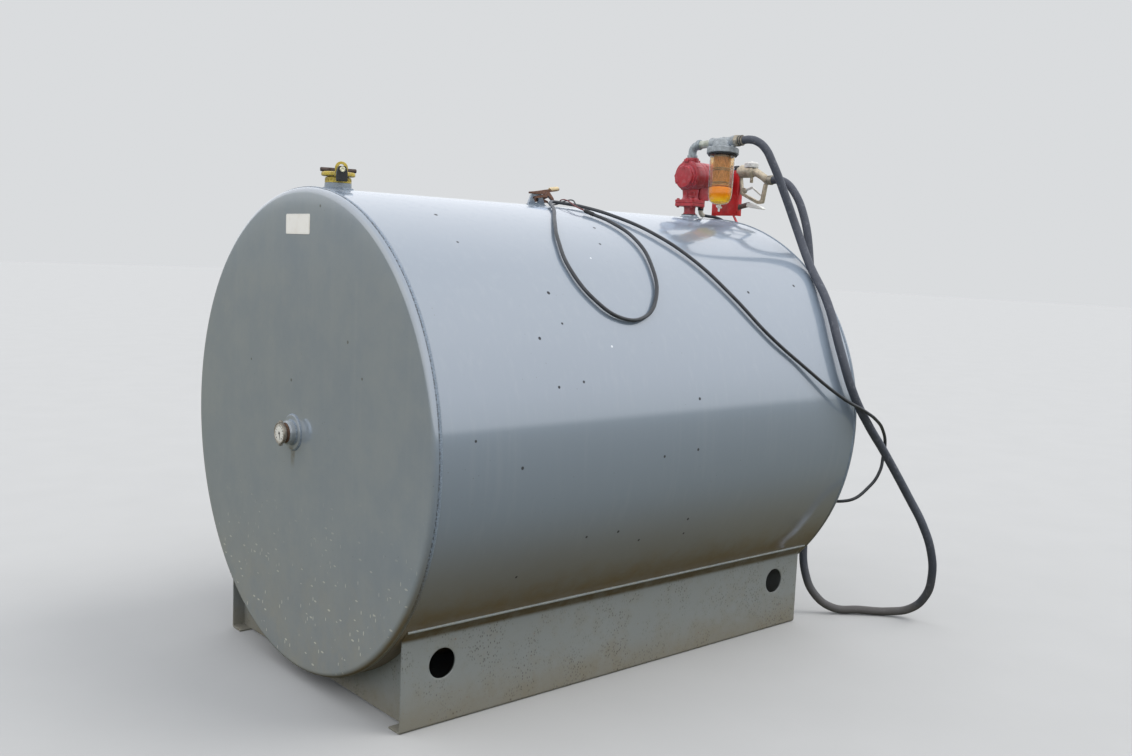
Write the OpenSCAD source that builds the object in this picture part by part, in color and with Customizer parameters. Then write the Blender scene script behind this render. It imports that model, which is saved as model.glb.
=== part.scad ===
// Horizontal steel fuel tank on two bent-plate skids, with a top-mounted
// transfer pump, bowl filter, delivery hose and nozzle.
// Lengths are in millimetres. X runs along the tank from the gauge end to the
// pump end, +Y points to the side away from the hose, Z is up from the ground.

/* [Tank] */
// Outer radius of the shell
shell_r = 813; // [700:1:900]
// Length of the shell between its two end seams
shell_len = 1977; // [1900:1:2300]
// Thickness of the shell plate
shell_t = 5; // [4:0.5:8]
// Thickness of the end plates
head_t = 5; // [4:0.5:8]
// Outer radius of the bend round each end plate
knuckle_r = 19; // [14:1:30]
// Straight lip between each end plate's bend and its seam
head_lip = 4; // [2:1:20]
// Height of the lowest point of the shell over the ground
belly_gap = 40; // [20:1:120]

/* [Skids] */
// Angle below the horizontal at which each skid meets the shell
skid_angle = 39.8; // [36:0.1:46]
// Thickness of the skid plate
skid_t = 6; // [4:0.5:10]
// Width of the skid's top flange, down from the weld line
skid_flange = 50; // [35:1:70]
// Width of the skid's foot
skid_foot = 60; // [30:1:100]
// Distance from each seam to the end of the skid
skid_inset = 25; // [5:1:80]
// Radius of the lifting holes
lift_hole_r = 49; // [30:0.5:60]
// Distance from the end of the skid to a lifting hole's centre
lift_hole_inset = 150; // [100:1:300]
// Height of the lifting holes' centres over the ground
lift_hole_z = 198; // [120:1:210]
// Thickness of the cross plates under the shell
saddle_t = 6; // [4:0.5:12]
// Distance from the end of the skid to the cross plate
saddle_inset = 45; // [20:1:80]

/* [Gauge] */
// Sideways place of the gauge on the near end
gauge_y = 32; // [-100:1:100]
// Height of the gauge's centre over the tank's axis
gauge_z = -4; // [-100:1:100]
// Radius of the welding flange
gauge_flange_r = 59; // [50:1:80]
// Thickness of the welding flange
gauge_flange_t = 6; // [4:1:12]
// Radius of the threaded coupling
gauge_coupling_r = 40; // [34:1:48]
// Length of the threaded coupling
gauge_coupling_len = 22; // [15:1:40]
// Radius of the adapter between coupling and dial
gauge_adapter_r = 34; // [25:1:39]
// Length of the adapter
gauge_adapter_len = 12; // [6:1:30]
// Radius of the dial's case
dial_r = 36; // [30:1:45]
// Depth of the dial's case
dial_len = 12; // [8:1:20]
// Radius of the gauge's hole through the end plate
gauge_hole_r = 28; // [15:1:32]

/* [Fill opening] */
// Distance of the fill opening from the near seam
fill_x = 111; // [80:1:400]
// Outer radius of the fill collar
fill_collar_r = 44.5; // [36:0.5:60]
// Height of the fill collar over the crown
fill_collar_h = 21; // [12:1:40]
// Radius of the fill opening
fill_bore_r = 30; // [20:0.5:34]
// Radius of the cap's lower ring
cap_base_r = 44; // [38:0.5:60]
// Height of the cap's lower ring
cap_base_h = 18; // [12:1:30]
// Radius of the cap's neck under the lid
cap_neck_r = 36; // [25:0.5:37]
// Height of the cap's neck under the lid
cap_neck_h = 4; // [2:0.5:10]
// Radius of the cap's lid
cap_lid_r = 56; // [45:0.5:70]
// Height of the cap's lid
cap_lid_h = 14; // [8:1:24]
// Thickness of the grip bar across the lid
cap_bar_d = 14; // [10:1:18]
// Length of the grip bar
cap_bar_len = 120; // [80:1:130]
// Turn of the cap about its axis
cap_turn = -20; // [-90:1:90]
// Width of the hasp on the lid
hasp_w = 42; // [36:1:60]
// Height of the hasp over the lid
hasp_h = 32; // [28:1:50]
// Thickness of the hasp
hasp_t = 12; // [6:1:16]
// Width of the padlock's body
lock_w = 36; // [30:1:50]
// Height of the padlock's body under its bolt
lock_h = 38; // [25:1:44]
// Thickness of the padlock's body
lock_t = 18; // [12:1:24]
// Radius of the padlock's bolt
bolt_r = 4.5; // [3:0.5:5]

/* [Lifting lug] */
// Distance of the lug's middle from the near seam
lug_x = 965; // [700:1:1200]
// Width of the lug at its foot
lug_w = 86; // [76:1:120]
// Width of the lug at its top
lug_top_w = 50; // [46:1:80]
// Height of the lug over the crown
lug_h = 43; // [43:1:80]
// Thickness of the lug
lug_t = 10; // [6:1:16]
// Radius of the lug's eye
lug_hole_r = 13; // [8:0.5:15]
// Height of the lug's eye over the crown
lug_hole_z = 23; // [21:1:27]

/* [Pump] */
// Distance of the pump's bung from the far seam
pump_inset = 151; // [100:1:190]
// Turn of the pump about its bung, towards the hose side
pump_turn = 6; // [0:1:20]
// Radius of the bung welded into the crown
bung_r = 36; // [34:0.5:48]
// Height of the bung over the crown
bung_h = 11; // [8:1:30]
// Radius of the suction opening
suction_r = 18; // [12:0.5:22]
// Radius of the pump's inlet neck
inlet_r = 27; // [24:0.5:30]
// Height of the pump's inlet neck
inlet_h = 37; // [25:1:60]
// Width of the inlet flanges
flange_w = 100; // [84:1:110]
// Thickness of each inlet flange
flange_t = 14; // [10:1:20]
// Radius of the neck between the flanges and the pump casing
casing_neck_r = 33; // [28:0.5:40]
// Height of the pump casing's centre over the crown
casing_z = 178; // [165:1:190]
// Radius of the pump casing
casing_r = 64; // [58:0.5:70]
// Distance from the bung's axis to the front of the casing
casing_front = 38; // [30:1:50]
// Distance from the bung's axis to the back of the casing
casing_back = 22; // [20:1:40]
// Radius of the pump's front cover
cover_r = 52; // [44:0.5:56]
// Thickness of the pump's front cover
cover_t = 24; // [15:1:40]
// Radius of the motor
motor_r = 59; // [50:0.5:63]
// Length of the motor's body
motor_len = 198; // [150:1:230]
// Radius of the motor's end bell
bell_r = 48; // [40:0.5:49]
// Length of the motor's end bell
bell_len = 22; // [12:1:40]
// Radius of the outlet boss on top of the casing
outlet_boss_r = 29; // [26:0.5:36]
// Height of the outlet boss's top over the crown
outlet_boss_z = 255; // [252:1:270]

/* [Outlet pipe] */
// Outer radius of the outlet pipe
pipe_r = 16.7; // [15:0.1:20]
// Outer radius of the elbow
elbow_r = 20.5; // [20:0.5:23]
// Bend radius of the elbow
elbow_bend = 30; // [26:1:45]
// Height of the elbow's upright leg
elbow_leg = 23; // [10:1:40]
// Length of the elbow's outlet collar
elbow_collar = 16; // [8:1:30]
// Rise of the outlet pipe from the horizontal
outlet_rise = 3; // [0:0.5:8]
// Length of pipe that shows between the elbow and the filter
nipple_len = 52; // [30:1:90]

/* [Filter] */
// Swing of the filter about the outlet pipe
filter_swing = 5.5; // [0:0.5:12]
// Reach of each filter port from the filter's axis
port_len = 62; // [55:1:80]
// Outer radius of the filter ports
port_r = 24; // [22:0.5:26]
// Radius of the filter head's dome
head_dome_r = 46; // [40:0.5:52]
// Radius of the filter head's rim
rim_r = 67.5; // [60:0.5:75]
// Height of the filter head's rim
rim_h = 25; // [15:1:35]
// Depth of the rim's top under the ports' axis
rim_drop = 26; // [25:1:40]
// Height of the filter's gasket ring
gasket_h = 7; // [4:1:12]
// Outer radius of the filter's gasket ring
gasket_r = 61; // [56:0.5:66]
// Outer radius of the filter bowl
bowl_r = 53; // [46:0.5:56]
// Wall of the filter bowl
bowl_t = 3; // [2:0.5:5]
// Length of the filter bowl
bowl_len = 205; // [180:1:215]
// Radius of the filter element
element_r = 38; // [30:0.5:42]
// Length of the filter element
element_len = 138; // [100:1:150]
// Radius of the hose coupling
coupling_r = 26; // [24:0.5:32]
// Length of the hose coupling
coupling_len = 40; // [30:1:60]

/* [Nozzle holder] */
// Width of the holder's back plate
boot_w = 140; // [128:1:160]
// Height of the holder's lower edge over the crown
boot_z = 22; // [18:1:40]
// Height of the holder's upper edge over the crown
boot_top = 222; // [214:1:240]
// Depth of the holder's side flanges
boot_depth = 35; // [32:1:50]
// Thickness of the holder's sheet
boot_t = 3; // [2:0.5:4]
// Sideways shift of the holder, away from the hose side
boot_shift = 9; // [0:1:20]
// Radius of the nozzle's spout
spout_r = 11; // [9:0.5:12]
// Bend radius of the nozzle's spout
spout_bend = 26; // [24:1:40]
// Length of the spout's hanging end
spout_drop = 80; // [40:1:120]
// Radius of the nozzle's body
nozzle_r = 29; // [24:0.5:30]
// Length of the nozzle's body
nozzle_len = 84; // [74:1:100]
// Radius of the nozzle's handle
handle_r = 18; // [14:0.5:18]
// Radius of the nozzle's cap
nozzle_cap_r = 31; // [24:0.5:32]
// Thickness of the nozzle's guard
guard_t = 16; // [15:1:20]
// Thickness of the trigger
trigger_t = 7; // [5:0.5:9]
// Radius of the trigger's pin
pin_r = 3; // [2:0.5:4]

/* [Electrics] */
// Length of the motor's junction box
box_len = 62; // [50:1:90]
// Width of the motor's junction box
box_w = 60; // [44:1:80]
// Outer diameter of the power cable
cable_d = 13; // [8:0.5:14]
// Radius of the cable gland
gland_r = 14; // [11:0.5:16]
// Outer radius of the conduit elbow
conduit_r = 10.5; // [8:0.5:11]
// Bend radius of the conduit elbow
conduit_bend = 20; // [18:1:26]

/* [Hose] */
// Outer diameter of the hose
hose_d = 34; // [30:0.5:40]
// Radius of the nozzle's swivel
swivel_r = 21; // [20:0.5:26]
// Length of the nozzle's swivel
swivel_len = 24; // [18:1:36]

/* [Hidden] */
$fn = 64;

// Gap that is left where a piece lies against a curved plate
seat = 0.3;
axis_z = shell_r + belly_gap;
pump_x = shell_len - pump_inset;
crown_z = axis_z + shell_r;
head_depth = head_lip + knuckle_r;
gauge_front = head_depth + gauge_flange_t + gauge_coupling_len
    + gauge_adapter_len + dial_len;

// Places in the pump's own frame: x along the motor, y away from the hose
// side, z up from the crown
motor_z = casing_z + 4;
motor_end = casing_back + motor_len + bell_len;
nozzle_x = motor_end + boot_t + 15;
holder_side = boot_w / 2 - boot_shift;
spout_z = boot_top + seat + spout_r;
body_z = spout_z - nozzle_r / 2;
body_front = holder_side + 4;
cap_y = body_front + 66;
handle_end = [222, 178];
elbow_z = outlet_boss_z + elbow_leg + elbow_bend;
filter_y = elbow_bend + elbow_collar + nipple_len + port_len;
coupling_end = filter_y + port_len + coupling_len;

// The origin is midway between the dial's face and the far edge of the swivel
reach_x = pump_x + (nozzle_x + swivel_r) * cos(pump_turn)
    + (handle_end[0] + swivel_len) * sin(pump_turn);
origin_x = (reach_x - gauge_front) / 2;

cap_z = crown_z + fill_collar_h;
lid_z = cap_z + cap_base_h + cap_neck_h;

// Points of the free cords, hand-chosen, measured from the near seam of a
// shell of this length
route_len = 1977;
hose_route = [[1856, -287, 1989], [1863, -322, 1981], [1876, -356, 1954],
    [1895, -388, 1890], [1936, -430, 1760], [1970, -466, 1640], [1968, -542, 1498],
    [1914, -692, 1332], [1884, -789, 1152], [1925, -835, 985],
    [2026, -845, 858], [2128, -856, 748], [2262, -905, 549], [2310, -946, 441],
    [2355, -967, 327], [2392, -960, 215], [2414, -922, 112],
    [2408, -860, 42], [2360, -788, 18], [2270, -702, 18],
    [2180, -628, 26], [2120, -574, 82], [2090, -540, 175],
    [2082, -526, 320], [2085, -515, 700], [2097, -448, 1530],
    [2102, -400, 1695], [2107, -340, 1790], [2112, -283, 1834],
    [2113, -243, 1844]];
cable_route = [[1958, 8, 1679], [1992, -8, 1675], [2015, -36, 1655],
    [2020, -80, 1500], [2024, -380, 715], [2032, -570, 545],
    [2085, -728, 524], [2156, -784, 588], [2190, -806, 655],
    [2204, -806, 712], [2194, -817, 768], [2140, -838, 828],
    [2044, -866, 882], [1955, -873, 922], [1845, -843, 976],
    [1643, -786, 1110], [1497, -739, 1220], [1382, -653, 1357],
    [1290, -532, 1484],
    [1205, -397, 1577], [1135, -262, 1634], [1088, -140, 1666],
    [1058, -68, 1678], [1020, -46, 1682], [975, -76, 1678],
    [860, -235, 1642], [765, -355, 1596], [685, -472, 1530],
    [648, -585, 1433], [690, -667, 1337], [779, -704, 1281],
    [885, -702, 1284], [978, -660, 1347], [1046, -562, 1457],
    [1073, -442, 1550], [1056, -325, 1610], [1032, -262, 1634]];
red_route = [[1004, -199, 1660], [1018, -148, 1676], [1038, -92, 1690],
    [1056, -42, 1692], [1061, -13, 1684]];
black_route = [[1012, -197, 1660], [1030, -158, 1674], [1058, -108, 1690],
    [1080, -40, 1690], [1056, 12, 1674]];

// Where a point of a route lies on a shell of any length: what is near the
// far end keeps its place to it, and what lies between is spread evenly
function laid(p) = p + [(shell_len - route_len) * min(1, max(0, (p[0] - 1135) / 665)), 0, 0];

// The tank's own place: x from the near seam to the row's origin
module placed() translate([-origin_x, 0, 0]) children();

// The frame of the pump, at the middle of its bung on the crown
module at_pump() placed() translate([pump_x, 0, crown_z])
    rotate([0, 0, pump_turn]) children();

// The frame of the outlet pipe and the filter: y runs back along the pipe
module at_outlet() at_pump() translate([0, 0, elbow_z])
    rotate([-outlet_rise, 0, 0]) children();

// The plane of the nozzle: x runs out from the holder, y is up
module at_nozzle() at_pump() translate([nozzle_x, 0, 0])
    rotate([0, 0, -90]) rotate([90, 0, 0]) children();

// A cylinder from one point of the nozzle's plane to another
module nozzle_rod(a, b, r) {
    d = b - a;
    translate([a[0], a[1], 0]) rotate([0, 0, atan2(d[1], d[0])])
        rotate([0, 90, 0]) cylinder(r = r, h = norm(d));
}

// Where a point of the pump's frame lies, measured from the near seam
function from_pump(p) = [
    pump_x + p[0] * cos(pump_turn) - p[1] * sin(pump_turn),
    p[0] * sin(pump_turn) + p[1] * cos(pump_turn),
    crown_z + p[2]];

// A round tube swept along points: each ring stands square to the route
function unit(v) = v / norm(v);
function heading(pts, i) = unit(pts[min(i + 1, len(pts) - 1)]
    - pts[max(i - 1, 0)]);
function side_of(t) = abs(t[2]) < 0.9
    ? unit(cross(t, [0, 0, 1])) : unit(cross(t, [0, 1, 0]));
function carried(prev, t) = unit(prev - t * (prev * t));
function sides(pts, i, prev) = i >= len(pts) ? []
    : let (s = i == 0 ? side_of(heading(pts, 0)) : carried(prev, heading(pts, i)))
        concat([s], sides(pts, i + 1, s));
module tube(pts, d, n) {
    s = sides(pts, 0, [0, 0, 0]);
    points = [for (i = [0 : len(pts) - 1]) let (t = heading(pts, i), c = cross(t, s[i]))
        for (k = [0 : n - 1]) pts[i]
            + (s[i] * cos(360 * k / n) + c * sin(360 * k / n)) * d / 2];
    walls = [for (i = [0 : len(pts) - 2]) for (k = [0 : n - 1])
        [i * n + k, i * n + (k + 1) % n, (i + 1) * n + (k + 1) % n, (i + 1) * n + k]];
    start = [for (k = [0 : n - 1]) n - 1 - k];
    finish = [for (k = [0 : n - 1]) (len(pts) - 1) * n + k];
    polyhedron(points, concat([start], walls, [finish]), convexity = 8);
}

// The shell: a rolled plate with holes for the fill collar and the pump's bung
module shell() color([0.45, 0.49, 0.52]) placed() difference() {
    translate([0, 0, axis_z]) rotate([0, 90, 0]) cylinder(r = shell_r, h = shell_len, $fn = 180);
    translate([-1, 0, axis_z]) rotate([0, 90, 0])
        cylinder(r = shell_r - shell_t, h = shell_len + 2, $fn = 180);
    translate([fill_x, 0, axis_z]) cylinder(r = fill_collar_r + seat, h = shell_r + 1);
    translate([pump_x, 0, axis_z]) cylinder(r = bung_r + seat, h = shell_r + 1);
}

// Half section of an end plate, with its axis along the second direction
module head_profile(r, knuckle, depth) {
    translate([0, -depth]) square([r - knuckle, depth]);
    translate([0, -head_lip]) square([r, head_lip]);
    translate([r - knuckle, -head_lip]) circle(r = knuckle);
}

// An end plate: a flat disc with a rounded edge and a short lip
module head_plate() rotate([0, 90, 0]) rotate_extrude($fn = 180) intersection() {
    difference() {
        head_profile(shell_r, knuckle_r, head_depth);
        head_profile(shell_r - head_t, knuckle_r - head_t, head_depth - head_t);
    }
    translate([0, -head_depth]) square([shell_r, head_depth]);
}
module near_head() color([0.45, 0.49, 0.52]) placed() difference() {
    translate([0, 0, axis_z]) head_plate();
    translate([-head_depth - 1, gauge_y, axis_z + gauge_z]) rotate([0, 90, 0])
        cylinder(r = gauge_hole_r, h = head_depth);
}
module far_head() color([0.45, 0.49, 0.52]) placed()
    translate([shell_len, 0, axis_z]) mirror([1, 0, 0]) head_plate();

// Section of a skid: a flange that lies along the shell, an upright web and a foot
skid_seat_r = shell_r + seat;
skid_top = [-skid_seat_r * cos(skid_angle), axis_z - skid_seat_r * sin(skid_angle)];
skid_bend = skid_top + skid_flange * [sin(skid_angle), -cos(skid_angle)];
skid_corner = skid_flange - skid_t * (1 - cos(skid_angle)) / sin(skid_angle);
skid_out = skid_t * [-cos(skid_angle), -sin(skid_angle)];
web_y = -skid_bend[0];
skid_len = shell_len - 2 * skid_inset;
module skid_profile() polygon([
    skid_top,
    skid_bend,
    [skid_bend[0], skid_t],
    [skid_bend[0] + skid_foot, skid_t],
    [skid_bend[0] + skid_foot, 0],
    [skid_bend[0] - skid_t, 0],
    skid_top + skid_out + skid_corner * [sin(skid_angle), -cos(skid_angle)],
    skid_top + skid_out]);
module skid() difference() {
    translate([skid_inset, 0, 0]) rotate([90, 0, 90]) linear_extrude(skid_len) skid_profile();
    for (x = [skid_inset + lift_hole_inset, skid_inset + skid_len - lift_hole_inset])
        translate([x, -web_y + 1, lift_hole_z]) rotate([90, 0, 0])
            cylinder(r = lift_hole_r, h = skid_t + 2);
}
module hose_side_skid() color([0.42, 0.46, 0.50]) placed() skid();
module back_skid() color([0.42, 0.46, 0.50]) placed() mirror([0, 1, 0]) skid();

// A cross plate between the skids, cut to the shell
module saddle(x) translate([x, 0, 0]) difference() {
    translate([0, -web_y, skid_t]) cube([saddle_t, 2 * web_y, axis_z - skid_t]);
    translate([-1, 0, axis_z]) rotate([0, 90, 0]) cylinder(r = skid_seat_r, h = saddle_t + 2, $fn = 180);
}
module near_saddle() color([0.42, 0.46, 0.50]) placed() saddle(skid_inset + saddle_inset);
module far_saddle() color([0.42, 0.46, 0.50]) placed()
    saddle(skid_inset + skid_len - saddle_inset - saddle_t);

// The lifting lug: a tapered plate on the crown with one eye
module lifting_lug() color([0.72, 0.75, 0.78]) placed() difference() {
    translate([lug_x, lug_t / 2, crown_z]) rotate([90, 0, 0]) linear_extrude(lug_t)
        polygon([[-lug_w / 2, 0], [lug_w / 2, 0], [lug_top_w / 2, lug_h], [-lug_top_w / 2, lug_h]]);
    translate([lug_x, lug_t / 2 + 1, crown_z + lug_hole_z]) rotate([90, 0, 0])
        cylinder(r = lug_hole_r, h = lug_t + 2);
}

// The float gauge on the near end
module at_gauge(depth) placed() translate([-depth, gauge_y, axis_z + gauge_z])
    rotate([0, -90, 0]) children();
gauge_coupling_x = head_depth + gauge_flange_t;
gauge_adapter_x = gauge_coupling_x + gauge_coupling_len;
dial_x = gauge_adapter_x + gauge_adapter_len;
module gauge_flange() color([0.52, 0.56, 0.60]) at_gauge(head_depth) difference() {
    cylinder(r = gauge_flange_r, h = gauge_flange_t);
    translate([0, 0, -1]) cylinder(r = gauge_hole_r, h = gauge_flange_t + 2);
}
module gauge_coupling() color([0.48, 0.52, 0.56]) at_gauge(gauge_coupling_x) difference() {
    cylinder(r = gauge_coupling_r, h = gauge_coupling_len);
    translate([0, 0, -1]) cylinder(r = gauge_hole_r, h = gauge_coupling_len + 2);
}
module gauge_adapter() color([0.42, 0.30, 0.22]) at_gauge(gauge_adapter_x)
    cylinder(r = gauge_adapter_r, h = gauge_adapter_len);
module gauge_dial() color([0.88, 0.87, 0.83]) at_gauge(dial_x) difference() {
    union() {
        cylinder(r = dial_r, h = dial_len);
        for (s = [-1, 1]) translate([s * dial_r, 0, 0]) cylinder(r = 7, h = dial_len - 3);
    }
    translate([0, 0, dial_len - 2]) cylinder(r = dial_r - 4, h = 3);
}

// The fill opening and its locking cap
module at_fill(z) placed() translate([fill_x, 0, z]) rotate([0, 0, cap_turn]) children();
module fill_collar() color([0.62, 0.65, 0.68]) at_fill(crown_z - shell_t) difference() {
    cylinder(r = fill_collar_r, h = fill_collar_h + shell_t);
    translate([0, 0, -1]) cylinder(r = fill_bore_r, h = fill_collar_h + shell_t + 2);
}
module fill_cap_base() color([0.80, 0.62, 0.12]) at_fill(cap_z) {
    cylinder(r = cap_base_r, h = cap_base_h);
    translate([0, 0, cap_base_h]) cylinder(r = cap_neck_r, h = cap_neck_h);
}
module fill_cap_lid() color([0.83, 0.65, 0.13]) at_fill(lid_z)
    cylinder(r = cap_lid_r, h = cap_lid_h);
module fill_cap_bar() color([0.25, 0.20, 0.17]) at_fill(lid_z + cap_lid_h)
    translate([-cap_bar_len / 2, 0, cap_bar_d / 2]) rotate([0, 90, 0])
        cylinder(d = cap_bar_d, h = cap_bar_len);
hasp_back = 4 - cap_lid_r;
bolt_z = cap_lid_h + bolt_r + 0.5;
module fill_cap_hasp() color([0.85, 0.68, 0.20]) at_fill(lid_z) difference() {
    translate([0, hasp_back, 0]) rotate([90, 0, 0]) linear_extrude(hasp_t) difference() {
        union() {
            translate([-hasp_w / 2, -3]) square([hasp_w, 3 + cap_lid_h + hasp_h - hasp_w / 2]);
            translate([0, cap_lid_h + hasp_h - hasp_w / 2]) circle(d = hasp_w);
        }
        translate([-hasp_w / 4, cap_lid_h + hasp_h - 17]) square([hasp_w / 2, 9]);
        translate([0, bolt_z]) circle(r = bolt_r);
    }
    translate([0, 0, -4]) cylinder(r = cap_lid_r + seat, h = cap_lid_h + 4 + seat);
}
lock_back = hasp_back - hasp_t;
module padlock() color([0.10, 0.10, 0.11]) at_fill(lid_z)
    translate([0, lock_back, 0]) rotate([90, 0, 0]) linear_extrude(lock_t) difference() {
        polygon([[-lock_w / 2, bolt_z - lock_h], [lock_w / 2, bolt_z - lock_h], [lock_w / 2, bolt_z - 8],
            [lock_w / 3, bolt_z + 11], [-lock_w / 3, bolt_z + 11], [-lock_w / 2, bolt_z - 8]]);
        translate([0, bolt_z]) circle(r = bolt_r);
    }
module padlock_bolt() color([0.78, 0.79, 0.80]) at_fill(lid_z)
    translate([0, hasp_back, bolt_z]) rotate([90, 0, 0]) {
        cylinder(r = bolt_r, h = hasp_t + lock_t + 1);
        translate([0, 0, hasp_t + lock_t]) cylinder(r = 2 * bolt_r, h = 6);
    }

// The pump: bung, inlet neck, casing, cover and motor
module pump_bung() color([0.50, 0.54, 0.58]) at_pump() difference() {
    translate([0, 0, -shell_t]) cylinder(r = bung_r, h = bung_h + shell_t);
    translate([0, 0, -shell_t - 1]) cylinder(r = suction_r, h = bung_h + shell_t + 2);
}
foot_z = bung_h + inlet_h;
module flange_plate(t) linear_extrude(t) intersection() {
    square(flange_w, center = true);
    circle(d = flange_w * 1.2);
}
module pump_inlet() color([0.62, 0.13, 0.15]) at_pump() difference() {
    union() {
        translate([0, 0, bung_h]) cylinder(r = inlet_r, h = inlet_h);
        translate([0, 0, foot_z]) flange_plate(flange_t);
    }
    translate([0, 0, bung_h - 1]) cylinder(r = suction_r, h = inlet_h + flange_t + 2);
}
module pump_casing() color([0.68, 0.15, 0.17]) at_pump() difference() {
    casing();
    motor_body(seat);
}
module casing() {
    translate([0, 0, foot_z + flange_t]) flange_plate(flange_t);
    translate([0, 0, foot_z + flange_t]) cylinder(r = casing_neck_r, h = casing_z - foot_z - flange_t);
    translate([-casing_front, 0, casing_z]) rotate([0, 90, 0])
        cylinder(r = casing_r, h = casing_front + casing_back);
    translate([0, 0, casing_z]) cylinder(r = outlet_boss_r, h = outlet_boss_z - casing_z);
}
module pump_cover() color([0.70, 0.17, 0.19]) at_pump()
    translate([-casing_front - cover_t, 0, casing_z - 6]) rotate([0, 90, 0])
        cylinder(r = cover_r, h = cover_t);
module motor_body(extra) translate([casing_back, 0, motor_z]) rotate([0, 90, 0]) {
    cylinder(r = motor_r + extra, h = motor_len);
    translate([0, 0, motor_len]) cylinder(r = bell_r + extra, h = bell_len);
}
module pump_motor() color([0.66, 0.15, 0.17]) at_pump() motor_body(0);
module junction_box() color([0.50, 0.10, 0.12]) at_pump() difference() {
    translate([casing_neck_r + 3, -box_w / 2, foot_z + 2 * flange_t + 2])
        cube([box_len, box_w, motor_z - foot_z - 2 * flange_t - 2]);
    motor_body(seat);
    translate([-casing_front - 1, 0, casing_z]) rotate([0, 90, 0])
        cylinder(r = casing_r + seat, h = casing_front + casing_back + 1 + seat);
}
gland_x = casing_neck_r + 3 + box_len - gland_r - 4;
gland_top = foot_z + 2 * flange_t + 2;
conduit_z = cable_d / 2 + 9;
module cable_gland() color([0.08, 0.08, 0.09]) at_pump()
    translate([gland_x, 0, conduit_z + conduit_bend])
        cylinder(r = gland_r, h = gland_top - conduit_z - conduit_bend);
module conduit_elbow() color([0.80, 0.78, 0.72]) at_pump()
    translate([gland_x + conduit_bend, 0, conduit_z + conduit_bend]) rotate([90, 0, 0])
        rotate([0, 0, 180]) rotate_extrude(angle = 90) translate([conduit_bend, 0]) circle(r = conduit_r);
cable_exit = from_pump([gland_x + conduit_bend, 0, conduit_z]);

// The outlet pipe and the filter that hangs on it
module outlet_elbow() color([0.55, 0.58, 0.60]) {
    at_pump() translate([0, 0, outlet_boss_z]) cylinder(r = elbow_r, h = elbow_leg);
    at_pump() translate([0, -elbow_bend, elbow_z - elbow_bend]) rotate([90, 0, 90])
        rotate_extrude(angle = 90 - outlet_rise) translate([elbow_bend, 0]) circle(r = elbow_r);
}
module outlet_nipple() color([0.72, 0.72, 0.68]) at_outlet()
    translate([0, -elbow_bend, 0]) rotate([90, 0, 0]) cylinder(r = pipe_r, h = elbow_collar + nipple_len);
module at_filter() at_outlet() translate([0, -filter_y, 0]) rotate([0, filter_swing, 0]) children();
module filter_head() color([0.55, 0.58, 0.57]) at_filter() {
    translate([0, 0, -rim_drop - rim_h]) cylinder(r = rim_r, h = rim_h);
    translate([0, 0, -rim_drop]) cylinder(r = head_dome_r, h = rim_drop + port_r - 2);
    translate([0, port_len, 0]) rotate([90, 0, 0]) cylinder(r = port_r, h = 2 * port_len);
}
gasket_z = -rim_drop - rim_h - gasket_h;
module filter_gasket() color([0.10, 0.10, 0.10]) at_filter() translate([0, 0, gasket_z]) difference() {
    cylinder(r = gasket_r, h = gasket_h);
    translate([0, 0, -1]) cylinder(r = element_r + seat, h = gasket_h + 2);
}
module bowl_profile(r, depth) {
    polygon([[0, 0], [r, 0], [r - 2, -depth * 0.8], [r - 5, -depth * 0.88],
        [r * 0.78, -depth * 0.94], [r * 0.52, -depth * 0.985], [r * 0.3, -depth], [0, -depth]]);
}
module filter_bowl() color([0.85, 0.60, 0.15, 0.6]) at_filter() translate([0, 0, gasket_z])
    rotate_extrude() difference() {
        bowl_profile(bowl_r, bowl_len);
        bowl_profile(bowl_r - bowl_t, bowl_len - bowl_t);
    }
module filter_element() color([0.72, 0.50, 0.28]) at_filter()
    translate([0, 0, -rim_drop - rim_h - element_len]) cylinder(r = element_r, h = element_len);
module filter_drain() color([0.80, 0.80, 0.78]) at_filter() translate([0, 0, gasket_z - bowl_len]) {
    translate([0, 0, -16]) cylinder(r = 8, h = 16);
    translate([-18, -3, -14]) cube([36, 6, 8]);
    translate([0, 0, -30]) cylinder(r = 4.5, h = 14);
}
module hose_coupling() color([0.55, 0.50, 0.38]) at_outlet()
    translate([0, -filter_y - port_len, 0]) rotate([90, 0, 0]) cylinder(r = coupling_r, h = coupling_len);

// The nozzle holder behind the motor, and the nozzle that hangs in it
module nozzle_holder() color([0.58, 0.06, 0.08]) at_pump()
    translate([motor_end, -holder_side, boot_z]) difference() {
        cube([boot_depth, boot_w, boot_top - boot_z]);
        translate([boot_t, boot_t, -1]) cube([boot_depth, boot_w - 2 * boot_t, boot_top - boot_z + 2]);
    }
leg_foot = from_pump([motor_end, -104, -44]);
module holder_leg() color([0.40, 0.05, 0.07]) {
    at_pump() translate([motor_end, 0, 0]) rotate([90, 0, 90]) linear_extrude(12)
        polygon([[-57, boot_z], [-104, -52], [-110, -52], [-63, boot_z]]);
    placed() translate([shell_len + head_depth, leg_foot[1] - 8, leg_foot[2] - 14])
        cube([leg_foot[0] - shell_len - head_depth + 15, 17, 16]);
}
module switch_lever() color([0.45, 0.40, 0.38]) at_nozzle() {
    translate([holder_side, 58, 0]) rotate([0, 90, 0]) cylinder(r = 14, h = 8);
    nozzle_rod([holder_side + 4, 58], [132, 74], 12);
    translate([0, 0, -14]) linear_extrude(28)
        polygon([[122, 64], [128, 80], [150, 79], [208, 58], [208, 50], [146, 58]]);
}
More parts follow.
